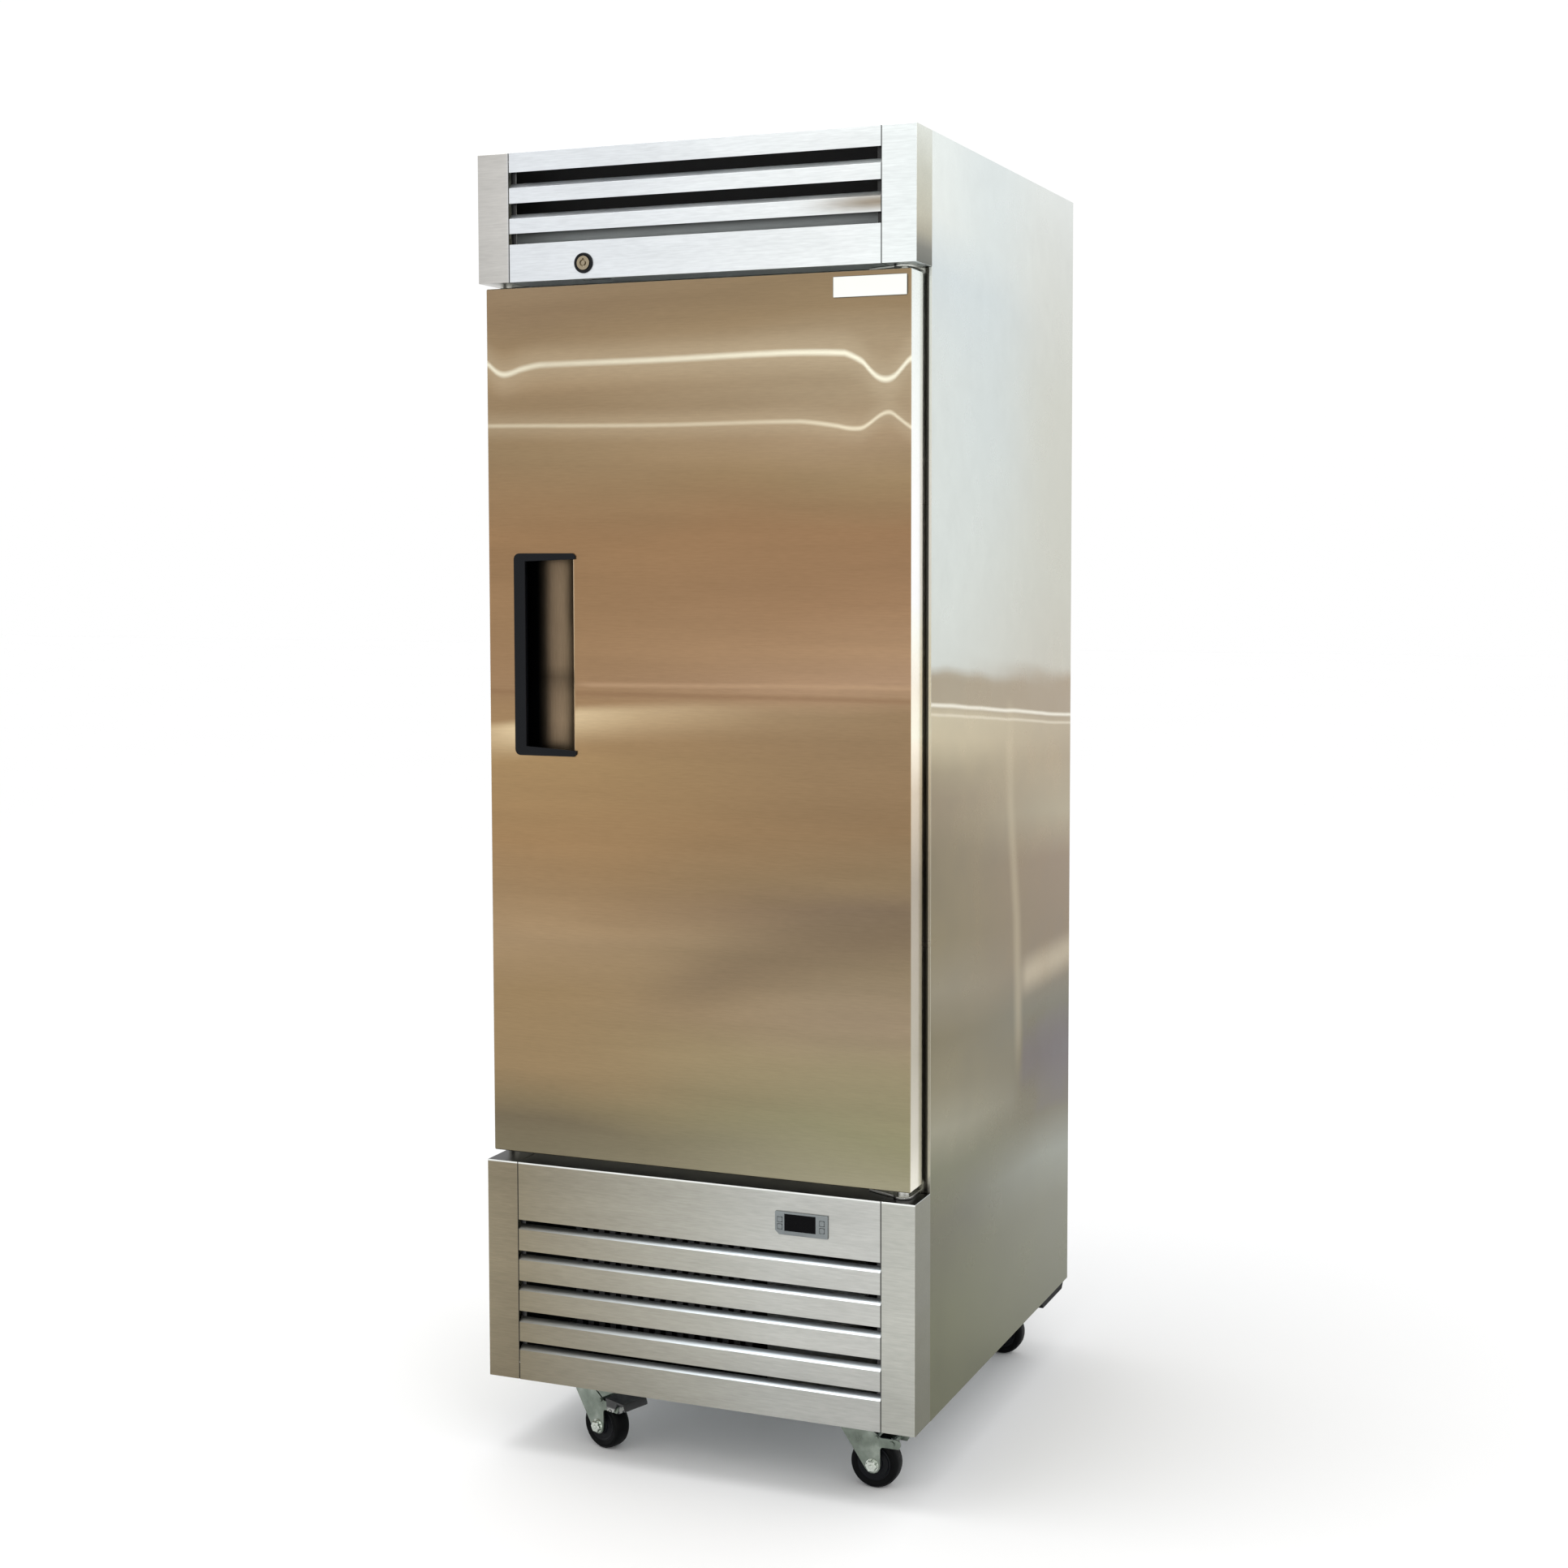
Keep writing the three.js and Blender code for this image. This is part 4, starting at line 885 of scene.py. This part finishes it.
# One for each slot in the record but fascia_steel, and some for single nodes and pieces.
FINISHES = {
    "side_steel": side_steel(),
    "door_steel": door_steel(),
    "header_steel": header_steel(),
    "grille_steel": grille_steel(),
    "face_steel": face_steel(),
    "scoop_steel": scoop_steel(),
    "liner_steel": liner_steel(),
    "hinge_steel": hinge_steel(),
    "galvanised_steel": galvanised(),
    "zinc_plate": zinc(),
    "fin_aluminium": fins(),
    "chrome": chrome("chrome", srgb(226, 228, 230)),
    "shelf_wire": chrome("shelf_wire", srgb(208, 211, 213)),
    "black_plastic": plastic("black_plastic", srgb(13, 15, 19), 0.42, shine=0.15),
    "grey_plastic": plastic("grey_plastic", srgb(120, 126, 127), 0.42, spread=0.16),
    "white_plastic": plastic("white_plastic", srgb(232, 233, 229), 0.36, spread=0.02),
    "white_paint": paint_coat("white_paint", srgb(226, 228, 226), 0.4),
    "badge_plate": badge_plate(),
    "display_window": window_glass(),
    "black_paint": paint_coat("black_paint", srgb(22, 23, 25), 0.42),
    "lock_plug": chrome("lock_plug", srgb(158, 146, 124)),
    "zinc_bright": chrome("zinc_bright", srgb(206, 212, 204)),
    "pedal_paint": pedal_paint(),
    "foam": foam(),
    "gasket_rubber": rubber("gasket_rubber", srgb(18, 19, 20)),
    "rubber_trim": rubber("rubber_trim", srgb(18, 18, 19)),
    "wheel_rubber": rubber("wheel_rubber", srgb(6, 7, 8), 0.5, shine=0.08),
}
# The nodes whose finish isn't the one named after their slot.
FINISH_OF = {
    "header_post_left": "header_steel",
    "header_post_right": "header_steel",
    "header_louvre": "header_steel",
    "grille_post_left": "grille_steel",
    "grille_post_right": "grille_steel",
    "grille_louvre": "grille_steel",
    "face_frame": "face_steel",
    "lock_cylinder": "lock_plug",
}


def finish_of(node):
    """The finish that a CAD node and its stand-in have."""
    return FINISHES[FINISH_OF.get(node, SLOT_OF[node])]


for node_name, node_object in NODES.items():
    node_object.data.materials.clear()
    node_object.data.materials.append(finish_of(node_name))


# ---- shaping -----------------------------------------------------------------------------------


def place(name, mesh, body, material, slot, *nodes):
    """Links a mesh as a piece on a body, standing for some CAD nodes."""
    piece = bpy.data.objects.new(name, mesh)
    bpy.context.scene.collection.objects.link(piece)
    mesh.materials.clear()
    mesh.materials.append(material)
    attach(piece, body)
    if nodes:
        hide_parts(*nodes)
    return piece


def finished(bm, name, smooth_below=35.0):
    """A mesh from a bmesh, smooth except at corners sharper than an angle."""
    bmesh.ops.recalc_face_normals(bm, faces=bm.faces)
    for face in bm.faces:
        face.smooth = True
    mesh = bpy.data.meshes.new(name)
    bm.to_mesh(mesh)
    bm.free()
    mesh.set_sharp_from_angle(angle=math.radians(smooth_below))
    return mesh


def bevelled(bm, edges, width, segments):
    """Rounds some edges of a bmesh to a radius."""
    bmesh.ops.bevel(
        bm, geom=edges, offset=width, offset_type="OFFSET", segments=segments,
        profile=0.5, affect="EDGES", clamp_overlap=True,
    )


def roundable(edge, width):
    """An outer corner whose two faces are both wide enough for a rounding."""
    if len(edge.link_faces) != 2 or edge.calc_face_angle_signed(0.0) < math.radians(35):
        return False
    length = edge.calc_length()
    return all(face.calc_area() > 2.1 * width * length for face in edge.link_faces)


def refined(node, width, smooth_below=35.0):
    """The CAD node's own shape with its outer corners rounded to a radius."""
    bm = bmesh.new()
    bm.from_mesh(NODES[node].data)
    bmesh.ops.remove_doubles(bm, verts=bm.verts, dist=5e-6)
    bmesh.ops.dissolve_limit(
        bm, angle_limit=math.radians(0.5), verts=bm.verts, edges=bm.edges, delimit=set()
    )
    bm.normal_update()
    bevelled(bm, [edge for edge in bm.edges if roundable(edge, width)], width, 3)
    mesh = finished(bm, node + "_shape", smooth_below)
    body = body_of(NODES[node])[0]
    piece = place(node + "_fine", mesh, body, finish_of(node), SLOT_OF[node], node)
    # Broad faces stay flat in shading beside their rounded edges.
    piece.modifiers.new("weighted_normals", "WEIGHTED_NORMAL").keep_sharp = True


def lathe(profile, sides, matrix, bm=None):
    """A closed ring from (radius, height) points, turned about the matrix's Z axis."""
    bm = bm or bmesh.new()
    rings = []
    for i in range(sides):
        angle = 2 * math.pi * i / sides
        across = Vector((math.cos(angle), math.sin(angle), 0))
        rings.append([
            bm.verts.new(matrix @ (across * radius + Vector((0, 0, height))))
            for radius, height in profile
        ])
    count = len(profile)
    for i in range(sides):
        near, far = rings[i], rings[(i + 1) % sides]
        for j in range(count):
            k = (j + 1) % count
            bm.faces.new((near[j], far[j], far[k], near[k]))
    bmesh.ops.remove_doubles(bm, verts=bm.verts, dist=1e-6)
    return bm


def rod(bm, start, end, radius, sides):
    """A straight round wire with softened ends."""
    start, end = Vector(start), Vector(end)
    along = (end - start).normalized()
    turn = along.to_track_quat("Z", "Y").to_matrix().to_4x4()
    length = (end - start).length
    tip, inset = radius * 0.55, radius * 0.5
    rings = [(tip, 0.0), (radius, inset), (radius, length - inset), (tip, length)]
    matrix = Matrix.Translation(start) @ turn
    loops = []
    for size, height in rings:
        loops.append([
            bm.verts.new(matrix @ Vector((
                size * math.cos(2 * math.pi * i / sides),
                size * math.sin(2 * math.pi * i / sides),
                height,
            )))
            for i in range(sides)
        ])
    for near, far in zip(loops, loops[1:]):
        for i in range(sides):
            k = (i + 1) % sides
            bm.faces.new((near[i], near[k], far[k], far[i]))
    bm.faces.new(list(reversed(loops[0])))
    bm.faces.new(loops[-1])


def block(bm, start, end):
    """A box between two opposite corners."""
    low = [min(pair) for pair in zip(start, end)]
    high = [max(pair) for pair in zip(start, end)]
    corners = [
        bm.verts.new((x, y, z))
        for z in (low[2], high[2])
        for y in (low[1], high[1])
        for x in (low[0], high[0])
    ]
    for loop in ((0, 2, 3, 1), (4, 5, 7, 6), (0, 1, 5, 4), (2, 6, 7, 3), (0, 4, 6, 2), (1, 3, 7, 5)):
        bm.faces.new([corners[i] for i in loop])


# ---- cabinet, door and trim --------------------------------------------------------------------

# Outer corner radii, in millimetres.
ROUNDED = {
    "side_panel_left": 1.6,
    "side_panel_right": 1.6,
    "top_panel": 0.4,
    "back_panel": 0.4,
    "header_post_left": 2.2,
    "header_post_right": 2.2,
    "grille_post_left": 2.2,
    "grille_post_right": 2.2,
    "header_louvre": 0.5,
    "grille_louvre": 0.5,
    "door_skin": 2.4,
    "door_inner": 3.0,
    "door_gasket": 3.0,
    "handle_frame": 1.1,
    "badge": 0.4,
    "controller_bezel": 1.2,
    "controller_window": 0.3,
    "hinge_top": 0.8,
    "hinge_bottom": 0.8,
    "rear_skid_left": 1.5,
    "rear_skid_right": 1.5,
    "evaporator_cover": 0.4,
    "button_left_upper": 0.5,
    "button_left_lower": 0.5,
    "button_right_upper": 0.5,
    "button_right_lower": 0.5,
}
for node_name, radius in ROUNDED.items():
    refined(node_name, radius * MM)
refined("handle_scoop", 0.2 * MM, smooth_below=60.0)
for corner in CORNERS:
    refined("caster_fork_" + corner, 0.5 * MM)
    refined("caster_plate_" + corner, 0.5 * MM)
refined("brake_pedal_front_left", 0.6 * MM)


# ---- casters -----------------------------------------------------------------------------------

# From the wheel's middle to the outer face of the fork's cheek.
CHEEK = 20.7 * MM


def caster_wheel(corner):
    """A rubber tyre on a moulded hub, about its own axle."""
    joint = JOINTS["roll_" + corner]
    centre, axle = Vector(joint["pos_m"]), Vector(joint["axis"])
    matrix = Matrix.Translation(centre) @ axle.to_track_quat("Z", "Y").to_matrix().to_4x4()
    tyre = [
        (26.0, -12.6), (28.5, -13.6), (32.0, -14.4), (34.8, -13.4), (36.8, -11.0), (37.8, -7.0),
        (38.0, 0.0), (37.8, 7.0), (36.8, 11.0), (34.8, 13.4), (32.0, 14.4), (28.5, 13.6),
        (26.0, 12.6), (25.6, 0.0),
    ]
    hub = [
        (6.3, -15.8), (12.6, -15.8), (13.6, -15.0), (14.4, -12.2), (17.0, -11.2), (22.0, -11.4),
        (24.0, -12.8), (25.8, -12.6), (25.5, 0.0), (25.8, 12.6), (24.0, 12.8), (22.0, 11.4),
        (17.0, 11.2), (14.4, 12.2), (13.6, 15.0), (12.6, 15.8), (6.3, 15.8),
    ]
    body = "wheel_" + corner
    for part, profile, finish in (("tyre", tyre, "wheel_rubber"), ("hub", hub, "black_plastic")):
        bm = lathe([(r * MM, h * MM) for r, h in profile], 72, matrix)
        mesh = finished(bm, f"caster_{part}", 28.0)
        nodes = ["caster_wheel_" + corner] if part == "tyre" else []
        place(f"caster_{part}_{corner}", mesh, body, FINISHES[finish], "wheel_rubber", *nodes)


def caster_nuts(corner):
    """A washer, a chamfered hex nut and a bolt end outside each cheek of the fork, at the axle."""
    joint = JOINTS["roll_" + corner]
    centre, axle = Vector(joint["pos_m"]), Vector(joint["axis"])
    bm = bmesh.new()
    for side in (-1, 1):
        outward = axle * side
        turn = outward.to_track_quat("Z", "Y").to_matrix().to_4x4()
        matrix = Matrix.Translation(centre + outward * CHEEK) @ turn
        washer = [(3.4, 0.1), (10.4, 0.1), (10.4, 1.0), (10.0, 1.4), (3.4, 1.4)]
        nut = [(3.3, 1.3), (9.0, 1.3), (9.2, 2.0), (9.2, 5.8), (7.9, 7.0), (3.3, 7.0)]
        bolt = [(0.0, 1.0), (3.2, 1.0), (3.2, 8.0), (2.5, 8.7), (0.0, 8.7)]
        for profile, sides in ((washer, 40), (nut, 6), (bolt, 20)):
            lathe([(r * MM, h * MM) for r, h in profile], sides, matrix, bm)
    mesh = finished(bm, "caster_nuts", 30.0)
    place("caster_nuts_" + corner, mesh, "fork_" + corner, FINISHES["zinc_bright"], "zinc_plate")


for corner in CORNERS:
    caster_wheel(corner)
    caster_nuts(corner)


# ---- lock --------------------------------------------------------------------------------------


def lock_face():
    """A rounded black collar round the key plug."""
    low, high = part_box("lock_housing")
    middle = (low + high) / 2
    matrix = Matrix.Translation((middle.x, low.y, middle.z)) @ Matrix.Rotation(-math.pi / 2, 4, "X")
    collar = [
        (11.6, 0.5), (12.6, 0.0), (13.8, 0.0), (14.9, 0.8), (15.2, 2.7), (12.7, 2.7), (12.7, 15.0),
        (11.0, 15.0), (11.0, 1.4),
    ]
    bm = lathe([(r * MM, h * MM) for r, h in collar], 72, matrix)
    mesh = finished(bm, "lock_collar", 30.0)
    place("lock_collar", mesh, "cabinet", FINISHES["black_plastic"], "black_plastic", "lock_housing")


lock_face()
refined("lock_cylinder", 0.3 * MM)


# ---- shelves -----------------------------------------------------------------------------------

SHELVES = {name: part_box(name) for name in ("shelf_lower", "shelf_middle", "shelf_upper")}
WIRES = 25

# The uprights' places from front to back, and the lining's inner faces to either side.
UPRIGHTS_Y = (-0.215, 0.285)
WALL_X = LINER_HIGH.x - 1.5 * MM


def wire_shelf(node, low, high):
    """Close round wires on four cross rods and two side rods."""
    bm = bmesh.new()
    frame_radius, wire_radius = 3.0 * MM, 1.7 * MM
    rail_z = high.z - 2 * wire_radius - frame_radius
    left, right = low.x + frame_radius, high.x - frame_radius
    front, back = low.y + frame_radius, high.y - frame_radius
    for part in (0.0, 0.36, 0.68, 1.0):
        y = front + part * (back - front)
        rod(bm, (left, y, rail_z), (right, y, rail_z), frame_radius, 12)
    for x in (left, right):
        rod(bm, (x, front, rail_z), (x, back, rail_z), frame_radius, 12)
    overhang = frame_radius * 0.4
    wire_z = high.z - wire_radius
    for i in range(WIRES):
        x = left + (right - left) * (i + 0.5) / WIRES
        rod(bm, (x, front - overhang, wire_z), (x, back + overhang, wire_z), wire_radius, 8)
    mesh = finished(bm, node + "_wires", 50.0)
    place(node + "_wires", mesh, "cabinet", FINISHES["shelf_wire"], "shelf_wire", node)


def shelf_standards():
    """Four uprights on the lining: two ribs each, with a ladder of rungs between them."""
    bottom, top = LINER_LOW.z + 50 * MM, 1.68
    outer, inner, depth = 12 * MM, 8 * MM, 5.5 * MM
    pitch, rung, sheet = 25 * MM, 15 * MM, 1.2 * MM
    bm = bmesh.new()
    for side in (-1, 1):
        wall, front = side * WALL_X, side * (WALL_X - depth)
        for y in UPRIGHTS_Y:
            block(bm, (wall, y - outer, bottom), (front, y - inner, top))
            block(bm, (wall, y + inner, bottom), (front, y + outer, top))
            for i in range(int((top - bottom) / pitch)):
                z = bottom + i * pitch
                block(bm, (front, y - inner, z), (front + side * sheet, y + inner, z + rung))
    mesh = finished(bm, "shelf_standards", 30.0)
    place("shelf_standards", mesh, "cabinet", FINISHES["liner_steel"], "liner_steel")


def shelf_clips():
    """A clip under each corner of each shelf: a ledge, and a leg down the upright's face."""
    half, thick, length = 7 * MM, 2.2 * MM, 18 * MM
    bm = bmesh.new()
    for low, _ in SHELVES.values():
        top = low.z - 0.2 * MM
        for side in (-1, 1):
            root = side * (WALL_X - 6.2 * MM)
            tip, leg = side * (WALL_X - 19 * MM), side * (WALL_X - 8.4 * MM)
            for y in UPRIGHTS_Y:
                block(bm, (root, y - half, top - thick), (tip, y + half, top))
                block(bm, (root, y - half, top - length), (leg, y + half, top - thick))
    corners = [e for e in bm.edges if len(e.link_faces) == 2 and e.calc_face_angle(0.0) > 0.6]
    bevelled(bm, corners, 0.4 * MM, 2)
    mesh = finished(bm, "shelf_clips", 40.0)
    place("shelf_clips", mesh, "cabinet", FINISHES["chrome"], "chrome")


for shelf, (low, high) in SHELVES.items():
    wire_shelf(shelf, low, high)
shelf_standards()
shelf_clips()


# ---- camera, lights and floor ------------------------------------------------------------------


def make_camera():
    """The view point of the photo, found from the corners of the body."""
    azimuth, pitch, roll = math.radians(22.415), math.radians(3.649), math.radians(-0.119)
    right = Vector((math.cos(azimuth), math.sin(azimuth), 0))
    forward = Vector((
        -math.sin(azimuth) * math.cos(pitch), math.cos(azimuth) * math.cos(pitch), -math.sin(pitch)
    ))
    up = right.cross(forward)
    level_right = right * math.cos(roll) + up * math.sin(roll)
    level_up = up * math.cos(roll) - right * math.sin(roll)
    data = bpy.data.cameras.new("camera")
    data.sensor_width = 36.0
    data.lens = 53.85
    data.shift_y = -0.0497
    camera = bpy.data.objects.new("camera", data)
    turn = Matrix((level_right, level_up, -forward)).transposed().to_4x4()
    camera.matrix_world = Matrix.Translation((1.441, -3.543, 1.388)) @ turn
    bpy.context.scene.collection.objects.link(camera)
    bpy.context.scene.camera = camera


def make_world():
    """A plain white studio: pale at the horizon, a little brighter overhead."""
    world = bpy.data.worlds.new("studio")
    bpy.context.scene.world = world
    world.use_nodes = True
    tree = world.node_tree
    background = tree.nodes["Background"]
    coordinates = tree.nodes.new("ShaderNodeTexCoord")
    split = tree.nodes.new("ShaderNodeSeparateXYZ")
    ramp = tree.nodes.new("ShaderNodeValToRGB")
    tree.links.new(coordinates.outputs["Generated"], split.inputs[0])
    tree.links.new(split.outputs["Z"], ramp.inputs[0])
    tree.links.new(ramp.outputs["Color"], background.inputs["Color"])
    elements = ramp.color_ramp.elements
    elements[0].position, elements[0].color = 0.0, (1.0, 1.0, 1.0, 1)
    elements[1].position, elements[1].color = 0.9, (1.06, 1.06, 1.06, 1)
    background.inputs["Strength"].default_value = 1.0


def make_light(name, location, target, size, power):
    """A round soft light aimed at a point."""
    data = bpy.data.lights.new(name, "AREA")
    data.shape = "DISK"
    data.size = size
    data.energy = power
    light = bpy.data.objects.new(name, data)
    location = Vector(location)
    aim = Vector(target) - location
    light.matrix_world = Matrix.Translation(location) @ aim.to_track_quat("-Z", "Y").to_matrix().to_4x4()
    bpy.context.scene.collection.objects.link(light)


def make_floor():
    """A plain pale floor that reaches well beyond the view."""
    bm = bmesh.new()
    bmesh.ops.create_grid(bm, x_segments=2, y_segments=2, size=30.0)
    mesh = bpy.data.meshes.new("floor")
    bm.to_mesh(mesh)
    bm.free()
    floor = bpy.data.objects.new("floor", mesh)
    bpy.context.scene.collection.objects.link(floor)
    finish = Finish("floor", roughness=0.85, Specular_IOR_Level=0.1)
    cloud = finish.noise((0.8, 0.8, 0.8), detail=3)
    finish.set(Base_Color=finish.dim((0.96, 0.96, 0.96, 1), finish.vary(cloud, 0.004)))
    mesh.materials.append(finish.material)
    floor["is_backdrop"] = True


make_camera()
make_world()
make_light("key", (2.6, -3.4, 3.2), (0, 0, 1.0), 1.6, 16.0)
make_light("top", (-0.6, -0.6, 3.6), (0, 0, 1.0), 2.0, 26.0)
make_floor()

scene = bpy.context.scene
scene.view_settings.view_transform = "Standard"
scene.view_settings.look = "None"

low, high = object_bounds()
